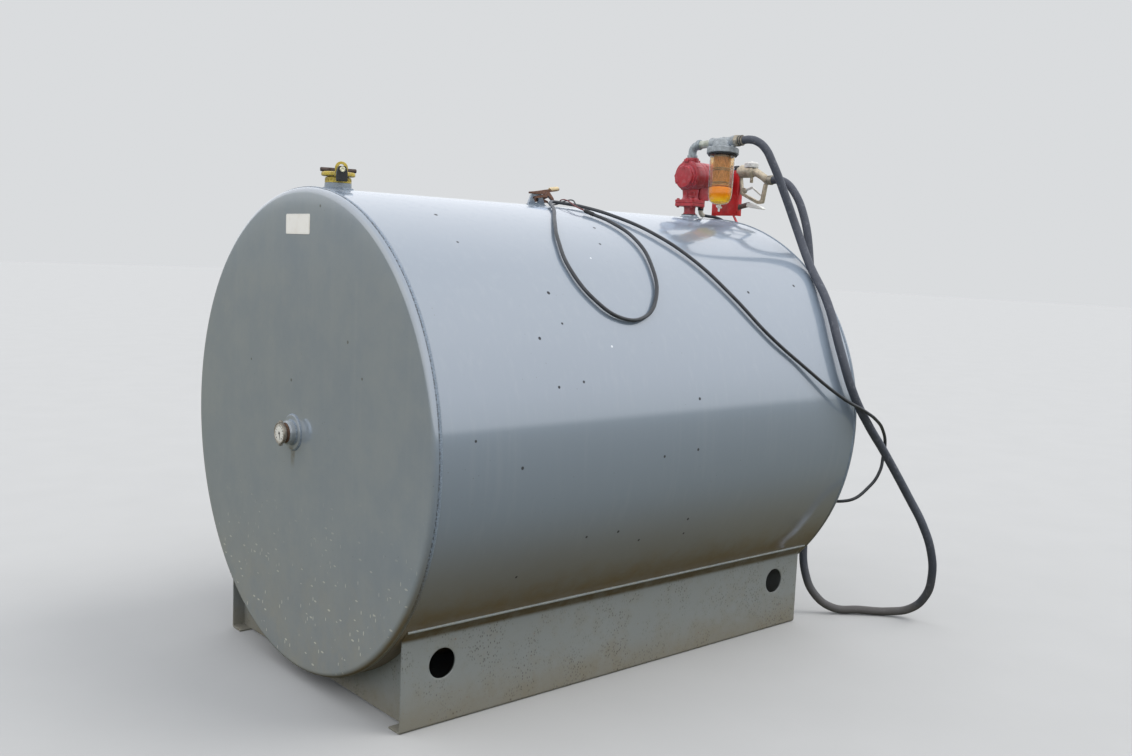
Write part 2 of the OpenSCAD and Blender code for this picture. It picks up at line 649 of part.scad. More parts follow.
module nozzle_spout() color([0.10, 0.10, 0.10]) at_nozzle() {
    translate([body_front, spout_z, 0]) rotate([0, -90, 0])
        cylinder(r = spout_r, h = body_front - holder_side + spout_bend + 10);
    translate([holder_side - spout_bend - 10, spout_z - spout_bend, 0]) rotate([0, 0, 90])
        rotate_extrude(angle = 90) translate([spout_bend, 0]) circle(r = spout_r);
    translate([holder_side - 2 * spout_bend - 10, spout_z - spout_bend, 0]) rotate([90, 0, 0])
        cylinder(r = spout_r, h = spout_drop);
}
module barrel(extra) translate([body_front, body_z, 0]) rotate([0, 90, 0])
    cylinder(r = nozzle_r + extra, h = nozzle_len);
module handle(extra) {
    nozzle_rod([body_front + nozzle_len - 4, body_z], handle_end - [10, -6], handle_r + extra);
    translate([handle_end[0] - 14, handle_end[1], 0]) rotate([0, 90, 0])
        cylinder(r = handle_r + extra, h = 14);
}
module nozzle_body() color([0.62, 0.56, 0.42]) at_nozzle() {
    barrel(0);
    handle(0);
    translate([136, 168, 0]) rotate([-90, 0, 0]) cylinder(r = 7, h = body_z - 168);
}
module nozzle_cap() color([0.66, 0.60, 0.46]) at_nozzle() difference() {
    translate([cap_y, body_z + nozzle_r / 2, 0]) rotate([-90, 0, 0])
        cylinder(r = nozzle_cap_r, h = nozzle_r / 2 + 15);
    barrel(seat);
    handle(seat);
}
pivot = [104, 134];
module nozzle_guard() color([0.60, 0.55, 0.42]) at_nozzle() {
    difference() {
        union() {
            translate([0, 0, -guard_t / 2]) linear_extrude(guard_t) polygon([
                [72, 200], [87, 115], [177, 74], [206, 78], [220, 164],
                [203.5, 164], [191, 93], [180, 88], [98, 124], [84, 200]]);
            for (s = [-1, 1]) translate([0, 0, s * (trigger_t / 2 + 2) - 1.5]) linear_extrude(3)
                polygon([[84, 118], [112, 125], [112, 142], [84, 150]]);
        }
        barrel(seat);
        handle(seat);
        translate([pivot[0], pivot[1], -trigger_t / 2 - 0.5]) cylinder(r = 9, h = trigger_t + 1);
    }
    translate([pivot[0], pivot[1], -trigger_t / 2 - 3]) cylinder(r = pin_r, h = trigger_t + 6);
}
module nozzle_swivel() color([0.50, 0.48, 0.44]) at_nozzle()
    translate([handle_end[0], handle_end[1], 0]) rotate([0, 90, 0]) cylinder(r = swivel_r, h = swivel_len);
module nozzle_trigger() color([0.78, 0.76, 0.70]) at_nozzle() difference() {
    translate([0, 0, -trigger_t / 2]) linear_extrude(trigger_t) polygon([
        [107.7, 140], [104, 141], [100.5, 140.1], [97.9, 137.5], [97, 134], [97.9, 130.5],
        [100.5, 127.9], [104, 127], [107.5, 127.9], [110.5, 131.4], [143.4, 142.4],
        [187, 110.7], [190.1, 110.6], [192.2, 113.5], [191.2, 116.3], [142.6, 151.6]]);
    translate([pivot[0], pivot[1], -10]) cylinder(r = pin_r + 0.05, h = 20);
}

// The free cords, as plain tubes along their routes
coupling_mouth = let (l = coupling_end, c = cos(outlet_rise), s = sin(outlet_rise))
    from_pump([0, -l * c, elbow_z + l * s]);
swivel_mouth = from_pump([nozzle_x, -handle_end[0] - swivel_len, handle_end[1]]);
module hose() color([0.30, 0.34, 0.40]) placed()
    tube(concat([coupling_mouth + [0, -seat, 0]], [for (p = hose_route) laid(p)],
        [swivel_mouth + [0, -seat, 0]]), hose_d, 12);
module power_cable() color([0.16, 0.17, 0.19]) placed()
    tube(concat([cable_exit + [0.8, 0, 0]], [for (p = cable_route) laid(p)]), cable_d, 8);
cable_tip = cable_route[len(cable_route) - 1];
split_tip = [1018, -224, 1649];
split_way = unit(split_tip - cable_tip);
split_side = unit(cross(split_way, [0, 0, 1]));
module cable_end() color([0.05, 0.05, 0.05]) placed()
    tube([cable_tip + seat * split_way, split_tip], 16, 12);
red_clip_end = [lug_x + 71.5, -lug_t / 2 - seat - 7, crown_z + 26];
black_clip_end = [lug_x + 64.5, lug_t / 2 + seat + 7, crown_z + 16];
module lead_red() color([0.60, 0.10, 0.08]) placed()
    tube(concat([split_tip - 3.7 * split_side + seat * split_way], red_route,
        [red_clip_end + [0.3, 0, -0.1]]), 5, 8);
module lead_black() color([0.06, 0.06, 0.07]) placed()
    tube(concat([split_tip + 3.7 * split_side + seat * split_way], black_route,
        [black_clip_end + [0.3, 0, -0.1]]), 5, 8);

// A battery clip: two crossed arms on one pivot, gripping the lug's edge
module clip_arm(pts, w) rotate([90, 0, 0]) linear_extrude(w) polygon(pts);
module clip_red() color([0.55, 0.30, 0.18]) placed() translate([lug_x, 0, crown_z]) {
    translate([0, 2, lug_h + seat]) clip_arm([[-37, 0], [-37, 7], [-5, 11], [38, 19], [103, 29],
        [104, 21], [45, 8], [27, 0]], 16);
    translate([0, -lug_t / 2 - seat, 0]) clip_arm([[-22, 25], [-20, 33], [30, 44], [40, 54], [50, 54],
        [73, 30], [70, 22], [44, 40], [36, 34]], 15);
}
module clip_black() color([0.35, 0.25, 0.18]) placed() translate([lug_x, 0, crown_z])
    translate([0, lug_t / 2 + seat + 15, 0]) clip_arm([[-18, 18], [-17, 26], [30, 31], [62, 42], [66, 34],
        [46, 26], [66, 20], [63, 12], [36, 18], [-8, 12]], 15);
shell();
near_head();
far_head();
hose_side_skid();
back_skid();
near_saddle();
far_saddle();
lifting_lug();
gauge_flange();
gauge_coupling();
gauge_adapter();
gauge_dial();
fill_collar();
fill_cap_base();
fill_cap_lid();
fill_cap_bar();
fill_cap_hasp();
padlock();
padlock_bolt();
pump_bung();
pump_inlet();
pump_casing();
pump_cover();
pump_motor();
junction_box();
cable_gland();
conduit_elbow();
outlet_elbow();
outlet_nipple();
filter_head();
filter_gasket();
filter_bowl();
filter_element();
filter_drain();
hose_coupling();
nozzle_holder();
holder_leg();
switch_lever();
nozzle_spout();
nozzle_body();
nozzle_cap();
nozzle_guard();
nozzle_swivel();
nozzle_trigger();
hose();
power_cable();
cable_end();
lead_red();
lead_black();
clip_red();
clip_black();
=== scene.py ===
"""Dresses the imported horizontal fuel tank: stage, cords, tank, fittings, pump, filter and nozzle."""
import math

import bmesh
import bpy
import numpy as np
from mathutils import Matrix


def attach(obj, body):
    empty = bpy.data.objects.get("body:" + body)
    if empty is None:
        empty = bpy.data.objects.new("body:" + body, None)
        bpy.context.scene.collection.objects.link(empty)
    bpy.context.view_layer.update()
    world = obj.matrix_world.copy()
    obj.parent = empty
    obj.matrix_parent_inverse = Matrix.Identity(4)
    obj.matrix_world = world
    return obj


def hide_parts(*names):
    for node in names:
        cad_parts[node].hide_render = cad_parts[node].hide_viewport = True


bl_info = {
    "name": "Horizontal Fuel Tank",
    "version": (1, 0, 0),
    "blender": (4, 5, 0),
    "location": "3D View > Sidebar > Fuel Tank",
    "description": "Builds the visible pieces and finishes of a skid-mounted horizontal fuel tank",
    "category": "Add Mesh",
}

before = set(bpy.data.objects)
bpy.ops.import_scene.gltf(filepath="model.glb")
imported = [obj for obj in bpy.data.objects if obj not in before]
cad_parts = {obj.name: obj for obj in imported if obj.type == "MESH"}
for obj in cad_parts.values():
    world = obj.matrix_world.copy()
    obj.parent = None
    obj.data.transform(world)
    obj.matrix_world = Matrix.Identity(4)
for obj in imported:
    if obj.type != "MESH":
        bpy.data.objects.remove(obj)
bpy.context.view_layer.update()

# Sizes shared with the tank's solids, in millimetres and degrees
SHELL_R, SHELL_LEN, KNUCKLE, LIP = 813.0, 1977.0, 19.0, 4.0
SHELL_WALL, SKID_WALL, GROUND_GAP = 5.0, 6.0, 40.0
AXIS_Z = SHELL_R + GROUND_GAP
CROWN = AXIS_Z + SHELL_R
FILL_X, LUG_X, PUMP_X = 111.0, 965.0, 1826.0
PUMP_DEGREES, OUTLET_RISE, FILTER_LEAN, FILL_DEGREES = 6.0, 3.0, 5.5, -20.0
PUMP_TURN = math.radians(PUMP_DEGREES)
CASING_Z, COVER_Z, MOTOR_Z = 178.0, 172.0, 182.0
OUTLET_Z, ELBOW_Y, FILTER_Y, COUPLING_Y, MOUTH_Y = 308.0, 30.0, 160.0, 222.0, 262.0
NOZZLE_X, SWIVEL_Y, SWIVEL_Z = 260.0, 246.0, 178.0
GAUGE_REACH, NOZZLE_REACH = 75.0, 281.0
ORIGIN_X = (PUMP_X + NOZZLE_REACH * math.cos(PUMP_TURN) + SWIVEL_Y * math.sin(PUMP_TURN) - GAUGE_REACH) / 2
SKID_ANGLE = math.radians(39.8)
SKID_INSET, SKID_FLANGE, SKID_FOOT = 25.0, 50.0, 60.0
HOLE_Z, HOLE_R, HOLE_PATCH, HOLE_INSET = 198.0, 49.0, 70.0, 150.0
BOWL_TOP, BOWL_LEN, BOWL_R = -58.0, 205.0, 53.0

# The same places as the finishes see them, in metres
TANK_MIDDLE, SEAM_REACH = -0.0396, 0.9940
GAUGE_Y, GAUGE_Z = 0.032, 0.849
PLATE_Y, PLATE_Z = 0.021, 1.545

# The camera: its place in metres, its angles in radians, lens and sensor in millimetres
EYE = (-2.785712, -3.357446, 1.474457)
HEADING, DIP, ROLL = 0.8561, 0.1086, 0.0422
LENS, SENSOR = 35.32, 36.0

# Points of the free cords, measured from the near seam, in millimetres
HOSE = [[1856, -287, 1989], [1863, -322, 1981], [1876, -356, 1954], [1895, -388, 1890],
        [1936, -430, 1760], [1970, -466, 1640], [1968, -542, 1498], [1914, -692, 1332],
        [1884, -789, 1152], [1925, -835, 985], [2026, -845, 858], [2128, -856, 748],
        [2262, -905, 549], [2310, -946, 441], [2355, -967, 327], [2390, -960, 215],
        [2414, -922, 112], [2408, -860, 44], [2360, -788, 20.5], [2270, -702, 20.5],
        [2180, -628, 26], [2120, -574, 82], [2090, -540, 175], [2082, -526, 320],
        [2085, -515, 700], [2097, -448, 1530], [2102, -400, 1695], [2107, -340, 1790],
        [2112, -283, 1834], [2113, -243, 1844]]
CABLE = [[1958, 8, 1679], [1992, -8, 1675], [2015, -36, 1655], [2020, -80, 1500],
         [2024, -380, 715], [2032, -570, 545], [2085, -728, 524], [2156, -784, 588],
         [2190, -806, 655], [2204, -806, 712], [2194, -817, 768], [2140, -838, 828],
         [2044, -866, 882], [1955, -873, 922], [1845, -843, 976], [1643, -786, 1110],
         [1497, -739, 1220], [1382, -653, 1357], [1290, -532, 1484], [1205, -397, 1577],
         [1135, -262, 1634], [1088, -140, 1666], [1058, -68, 1678], [1020, -46, 1682],
         [975, -76, 1678], [860, -235, 1642], [765, -355, 1596], [685, -472, 1530],
         [648, -585, 1433], [690, -667, 1337], [779, -704, 1281], [885, -702, 1284],
         [978, -660, 1347], [1046, -562, 1457], [1073, -442, 1550], [1056, -325, 1610],
         [1032, -262, 1634]]
RED = [[1004, -199, 1660], [1018, -148, 1676], [1038, -92, 1690], [1056, -42, 1692],
       [1061, -13, 1684]]
BLACK = [[1012, -197, 1660], [1030, -158, 1674], [1058, -108, 1690], [1080, -40, 1690],
         [1056, 12, 1674]]
SPLIT = [1018, -224, 1649]


# Places

def shift(x, y, z):
    """A move by x, y and z, in millimetres."""
    return Matrix.Translation((x, y, z))


def turn(degrees, axis):
    """A turn about one axis."""
    return Matrix.Rotation(math.radians(degrees), 4, axis)


TANK = shift(-ORIGIN_X, 0, 0)
PUMP = TANK @ shift(PUMP_X, 0, CROWN) @ turn(PUMP_DEGREES, "Z")
OUTLET = PUMP @ shift(0, 0, OUTLET_Z) @ turn(-OUTLET_RISE, "X")
FILTER = OUTLET @ shift(0, -FILTER_Y, 0) @ turn(FILTER_LEAN, "Y")
NOZZLE = PUMP @ shift(NOZZLE_X, 0, 0) @ turn(-90, "Z") @ turn(90, "X")
FILL = TANK @ shift(FILL_X, 0, CROWN) @ turn(FILL_DEGREES, "Z")
GAUGE = TANK @ shift(-LIP - KNUCKLE, GAUGE_Y * 1000, GAUGE_Z * 1000) @ turn(-90, "Y")
ALONG_X = turn(90, "Y")
TO_VIEWER = turn(90, "X")


def at(matrix, points):
    """Points carried by a matrix, as an array of the same shape."""
    m = np.array(matrix)
    return np.asarray(points, float) @ m[:3, :3].T + m[:3, 3]


# Surfaces

def unit(vectors):
    """Vectors of length 1 along the last axis."""
    return vectors / np.linalg.norm(vectors, axis=-1, keepdims=True)


def rounded(points, radius, steps=3, closed=False):
    """A polyline whose corners are cut at a distance and bridged by parabolas.

    Each bridge is (1 - t)^2 A + 2 t (1 - t) C + t^2 B, with A and B on the two sides and C the corner.
    """
    p = np.asarray(points, float)
    n = len(p)
    out = []
    for i in range(n):
        if not closed and i in (0, n - 1):
            out.append(p[i])
            continue
        a, c, b = p[i - 1], p[i], p[(i + 1) % n]
        la, lb = np.linalg.norm(a - c), np.linalg.norm(b - c)
        r = min(radius, la * 0.45, lb * 0.45)
        start, stop = c + (a - c) / max(la, 1e-9) * r, c + (b - c) / max(lb, 1e-9) * r
        for t in np.linspace(0, 1, steps + 1):
            out.append((1 - t) ** 2 * start + 2 * t * (1 - t) * c + t * t * stop)
    return np.array(out)


def turned(profile, n=64, edge=0.0):
    """A surface of revolution: each (radius, height) of the profile makes a ring about Z."""
    p = rounded(profile, edge) if edge else np.asarray(profile, float)
    a = np.linspace(0, 2 * np.pi, n, endpoint=False)
    return np.stack([p[:, :1] * np.cos(a), p[:, :1] * np.sin(a), p[:, 1:] + 0 * a], -1), False, True


def bar(points, radius, n=16, ends=True):
    """A tube along points, whose rings are carried square to the path without twist."""
    p = np.asarray(points, float)
    r = np.broadcast_to(np.asarray(radius, float), (len(p),))
    d = unit(np.gradient(p, axis=0))
    side = np.cross(d[0], [0, 0, 1] if abs(d[0][2]) < 0.9 else [0, 1, 0])
    sides = []
    for t in d:
        side = unit(side - t * (side @ t))
        sides.append(side)
    s = np.array(sides)
    c = np.cross(d, s)
    a = np.linspace(0, 2 * np.pi, n, endpoint=False)
    across = s[:, None] * np.cos(a)[:, None] + c[:, None] * np.sin(a)[:, None]
    rings = p[:, None] + r[:, None, None] * across
    if ends:
        rings = np.concatenate([np.repeat(p[:1, None], n, 1), rings, np.repeat(p[-1:, None], n, 1)])
    return rings, False, True


def plate(outline, low, high, edge=0.8, corner=0.0):
    """An outline carried from low to high along Z, its rims drawn in by an edge and closed by flat faces."""
    o = rounded(outline, corner, closed=True) if corner else np.asarray(outline, float)
    before, after = o - np.roll(o, 1, 0), np.roll(o, -1, 0) - o
    turn_sign = np.sign(np.sum(o[:, 0] * np.roll(o[:, 1], -1) - np.roll(o[:, 0], -1) * o[:, 1]))
    way = unit(before) + unit(after)
    way /= np.maximum(np.linalg.norm(way, axis=1, keepdims=True), 1e-9)
    inward = np.stack([-way[:, 1], way[:, 0]], 1) * turn_sign * edge
    rings = []
    for z, k in ((low, 1), (low + edge, 0), (high - edge, 0), (high, 1)):
        flat = o + inward * k
        rings.append(np.column_stack([flat, np.full(len(flat), z)]))
    return np.array(rings), True, True


def block(x0, x1, y0, y1, z0, z1, edge=1.0, corner=1.5):
    """A box with softened corners and rims."""
    return plate([[x0, y0], [x1, y0], [x1, y1], [x0, y1]], z0, z1, edge, corner)


def hex_head(radius, height):
    """A six-sided bolt head with a chamfered top."""
    return turned([[0, 0], [radius, 0], [radius, height * 0.75], [radius * 0.86, height], [0, height]], 6)


def ring_of(count, radius, phase=0.0):
    """Places round a circle about Z."""
    return [turn(360 * i / count + phase, "Z") @ shift(radius, 0, 0) for i in range(count)]


def bead(points, outward, width, height, pitch=6.0, seed=1):
    """A weld bead: a half-round ridge along points, whose height ripples once each pitch and wanders."""
    p = np.asarray(points, float)
    run = np.concatenate([[0], np.cumsum(np.linalg.norm(np.diff(p, axis=0), axis=1))])
    s = np.linspace(0, run[-1], max(8, int(run[-1] / pitch * 4)))
    q = np.stack([np.interp(s, run, p[:, k]) for k in range(3)], 1)
    o = np.asarray(outward, float)
    o = np.stack([np.interp(s, run, o[:, k]) for k in range(3)], 1) if o.ndim == 2 else np.tile(o,
                                                                                                (len(s), 1))
    o = unit(o)
    across = unit(np.cross(np.gradient(q, axis=0), o))
    rng = np.random.default_rng(seed)
    wander = np.interp(s, np.linspace(0, run[-1], 40), rng.normal(0, 0.06, 40))
    ripple = 0.86 + 0.14 * np.abs(np.sin(np.pi * s / pitch)) + wander
    a = np.linspace(0, np.pi, 7)
    grid = q[:, None] + across[:, None] * (np.cos(a) * width / 2)[None, :, None] * (1 + wander[:, None, None])
    return grid + o[:, None] * (np.sin(a)[None, :, None] * height * ripple[:, None, None]), False, False


def faces_of(rows, cols, wrap, offset):
    """Quads between neighbouring points of a grid of rows and columns."""
    i, j = np.meshgrid(np.arange(rows - 1), np.arange(cols if wrap else cols - 1), indexing="ij")
    k = (j + 1) % cols
    quads = np.stack([i * cols + j, i * cols + k, (i + 1) * cols + k, (i + 1) * cols + j], -1)
    return (quads.reshape(-1, 4) + offset).tolist()


def piece(name, surfaces, tone, body="tank", instead=None, angle=35.0, wall=0.0):
    """One named object from (surface, place) pairs, in metres, with smooth shading between its sharp edges.

    With a wall it is an open sheet, which Solidify thickens inwards.
    """
    verts, faces, total = [], [], 0
    for (grid, capped, wrap), place in surfaces:
        rows, cols = grid.shape[:2]
        verts.append(at(place, grid.reshape(-1, 3)))
        faces += faces_of(rows, cols, wrap, total)
        if capped:
            faces.append([total + c for c in range(cols)][::-1])
            faces.append([total + (rows - 1) * cols + c for c in range(cols)])
        total += rows * cols
    mesh = bpy.data.meshes.new(name)
    mesh.from_pydata((np.concatenate(verts) / 1000.0).tolist(), [], faces)
    work = bmesh.new()
    work.from_mesh(mesh)
    bmesh.ops.remove_doubles(work, verts=work.verts, dist=2e-6)
    bmesh.ops.dissolve_degenerate(work, edges=work.edges, dist=1e-7)
    if not wall:
        bmesh.ops.recalc_face_normals(work, faces=work.faces)
    work.to_mesh(mesh)
    work.free()
    mesh.polygons.foreach_set("use_smooth", np.ones(len(mesh.polygons), bool))
    mesh.set_sharp_from_angle(angle=math.radians(angle))
    obj = bpy.data.objects.new(name, mesh)
    bpy.context.scene.collection.objects.link(obj)
    mesh.materials.append(finish(tone))
    if wall:
        solid = obj.modifiers.new("Wall", "SOLIDIFY")
        solid.thickness, solid.offset = wall / 1000.0, -1
    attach(obj, body)
    if instead:
        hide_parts(instead)
    return obj


def weld(name, runs):
    """Weld beads, given as (surface, place) pairs, as one piece."""
    piece(name, runs, "weld paint", angle=80)


def softened(sheet, width):
    """A small bevel on the sharp edges of a bent sheet, its width in metres."""
    soft = sheet.modifiers.new("Edge", "BEVEL")
    soft.width, soft.segments, soft.limit_method, soft.angle_limit = width, 2, "ANGLE", math.radians(50)


def dress(names, tone):
    """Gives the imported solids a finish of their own."""
    for name in names:
        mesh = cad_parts[name].data
        mesh.materials.clear()
        mesh.materials.append(finish(tone))


# Finishes

def linear(colour):
    """A screen colour as linear light: ((c + 0.055) / 1.055) ^ 2.4."""
    return [((c + 0.055) / 1.055) ** 2.4 if c > 0.04045 else c / 12.92 for c in colour[:3]] + [1.0]


class Wire:
    """A shader socket that can be added, multiplied and compared like a number."""

    def __init__(self, tree, socket):
        self.tree, self.socket = tree, socket

    def _op(self, operation, first, second=0.0):
        node = self.tree.nodes.new("ShaderNodeMath")
        node.operation = operation
        for slot, value in zip(node.inputs, (first, second)):
            if isinstance(value, Wire):
                self.tree.links.new(value.socket, slot)
            else:
                slot.default_value = value
        return Wire(self.tree, node.outputs[0])

    def __add__(self, other):
        return self._op("ADD", self, other)

    def __sub__(self, other):
        return self._op("SUBTRACT", self, other)

    def __rsub__(self, other):
        return self._op("SUBTRACT", other, self)

    def __mul__(self, other):
        return self._op("MULTIPLY", self, other)

    def __pow__(self, other):
        return self._op("POWER", self, other)

    def __abs__(self):
        return self._op("ABSOLUTE", self)

    __radd__, __rmul__ = __add__, __mul__

    def most(self, other):
        """The larger of the two."""
        return self._op("MAXIMUM", self, other)


class Nodes:
    """The nodes of one material or of the sky."""

    def __init__(self, tree):
        self.tree = tree

    def node(self, kind, settings=None, **inputs):
        """A node of a type, with its settings first and then the values or links of its sockets.

        A ramp's stops are a setting too: pairs of position and colour, from low to high.
        """
        node = self.tree.nodes.new(kind)
        settings = dict(settings or {})
        stops = settings.pop("stops", [])
        for key, value in settings.items():
            setattr(node, key, value)
        for position, _ in stops[1:-1]:
            node.color_ramp.elements.new(position)
        for index, (position, tone) in enumerate(stops):
            element = node.color_ramp.elements[index]
            element.position, element.color = position, (*tone, 1)
        for key, value in inputs.items():
            self.put(node.inputs[key.replace("_", " ")], value)
        return node

    def put(self, socket, value):
        """Links a wire or a socket, and sets anything else."""
        if isinstance(value, Wire):
            value = value.socket
        if isinstance(value, bpy.types.NodeSocket):
            self.tree.links.new(value, socket)
        else:
            socket.default_value = value

    def parts(self, vector):
        """The x, y and z of a vector socket."""
        return [Wire(self.tree, out) for out in self.node("ShaderNodeSeparateXYZ", Vector=vector).outputs]

    def ray(self, kind):
        """1 for the rays of one kind, such as Glossy, and 0 for all others."""
        return Wire(self.tree, self.node("ShaderNodeLightPath").outputs["Is %s Ray" % kind])

    def mix(self, factor, first, second):
        """The first colour where the factor is 0, the second where it is 1."""
        node = self.node("ShaderNodeMix", {"data_type": "RGBA"})
        for index, value in ((0, factor), (6, first), (7, second)):
            self.put(node.inputs[index], value)
        return node.outputs[2]


class Finish(Nodes):
    """A material under construction: coordinates, patterns, mixes and its surface."""

    def __init__(self, name):
        self.material = bpy.data.materials.new(name)
        self.material.use_nodes = True
        super().__init__(self.material.node_tree)
        self.shader = self.tree.nodes["Principled BSDF"]
        self.place = self.node("ShaderNodeTexCoord").outputs["Object"]
        self.x, self.y, self.z = self.parts(self.place)

    def scaled(self, x, y, z):
        """The place with each axis multiplied, which draws a pattern out along the small ones."""
        node = self.node("ShaderNodeVectorMath", {"operation": "MULTIPLY"}, Vector=self.place)
        node.inputs[1].default_value = (x, y, z)
        return node.outputs[0]

    def noise(self, scale, detail=3.0, rough=0.55, warp=0.0, vector=None):
        """Cloudy noise between 0 and 1."""
        node = self.node("ShaderNodeTexNoise", Vector=vector or self.place, Scale=scale, Detail=detail,
                         Roughness=rough, Distortion=warp)
        return Wire(self.tree, node.outputs["Fac"])

    def cells(self, scale, vector=None, jitter=1.0):
        """Distance to the nearest of scattered points, in steps of the scale."""
        node = self.node("ShaderNodeTexVoronoi", Vector=vector or self.place, Scale=scale, Randomness=jitter)
        return Wire(self.tree, node.outputs["Distance"])

    def between(self, wire, low, high):
        """0 below low, 1 above high, smooth in between; with low above high, 1 below and 0 above."""
        ends = {"From Min": min(low, high), "From Max": max(low, high)}
        node = self.node("ShaderNodeMapRange", {"interpolation_type": "SMOOTHSTEP"}, Value=wire, **ends)
        rise = Wire(self.tree, node.outputs[0])
        return 1 - rise if low > high else rise

    def specks(self, places):
        """1 inside small balls at the places, 0 outside; each place is x, y, z and radius."""
        total = None
        for *centre, radius in places:
            away = self.node("ShaderNodeVectorMath", {"operation": "DISTANCE"}, Vector=self.place)
            away.inputs[1].default_value = centre
            spot = self.between(Wire(self.tree, away.outputs["Value"]), radius * 1.5, radius * 1.05)
            total = spot if total is None else total.most(spot)
        return total

    def sky_in_reflections(self, colour, share=0.9):
        """The colour, turned towards a pale sky grey where only a reflection sees it: a painted reflection.
        """
        return self.mix(self.ray("Glossy") * (1 - self.ray("Transmission")) * share, colour,
                        linear((0.78, 0.84, 0.92)))

    def surface(self, colour, rough, metal=0.0, bump=None, depth=0.001, strength=1.0, **constants):
        """Joins colour, roughness, metal, relief and the constants to the shader, and ends the material."""
        inputs = {"Base Color": colour, "Roughness": rough, "Metallic": metal, **constants}
        for key, value in inputs.items():
            self.put(self.shader.inputs[key.replace("_", " ")], value)
        if bump is not None:
            node = self.node("ShaderNodeBump", Height=bump, Distance=depth, Strength=strength)
            self.put(self.shader.inputs["Normal"], node.outputs[0])
        return self.material


def shade(base, share):
    """A linear colour made darker or lighter by one share."""
    return [min(1, c * share) for c in base[:3]] + [1]


def colour_of(key):
    """A colour from the panel, as linear light."""
    return linear(getattr(bpy.context.scene.fuel_tank_colours, key))


# Dark and pale specks on the hose side and the near end: place and radius, in metres
DARK_SPECKS = [
    (-0.514, -0.637, 1.358, 0.0048), (-0.615, -0.725, 1.222, 0.0042), (-0.079, -0.359, 1.582, 0.0046),
    (-0.139, -0.459, 1.524, 0.0040), (0.474, -0.627, 1.370, 0.0046), (0.776, -0.603, 1.398, 0.0046),
    (-0.473, -0.779, 1.087, 0.0036), (-0.577, -0.782, 1.075, 0.0036), (0.048, -0.798, 1.009, 0.0040),
    (-0.506, -0.701, 1.265, 0.0032), (-0.734, -0.813, 0.842, 0.0042), (-0.907, -0.809, 0.936, 0.0034),
    (0.038, -0.813, 0.835, 0.0040), (-0.126, -0.813, 0.825, 0.0038), (0.057, -0.765, 0.579, 0.0040),
    (-0.279, -0.765, 0.578, 0.0040), (-0.162, -0.746, 0.529, 0.0036), (0.063, -0.742, 0.522, 0.0034),
    (-0.420, -0.765, 0.579, 0.0036), (-0.667, -0.719, 0.474, 0.0036), (-0.764, -0.484, 1.506, 0.0034),
    (-0.751, -0.340, 1.592, 0.0050), (-1.051, -0.320, 1.183, 0.0042), (-1.051, 0.051, 1.024, 0.0042),
    (-1.051, -0.411, 1.078, 0.0036), (-1.051, 0.358, 1.066, 0.0032), (-1.051, -0.129, 1.603, 0.0036),
]
PALE_SPECKS = [(-0.322, -0.739, 1.192, 0.0030), (-0.239, -0.525, 1.474, 0.0026)]


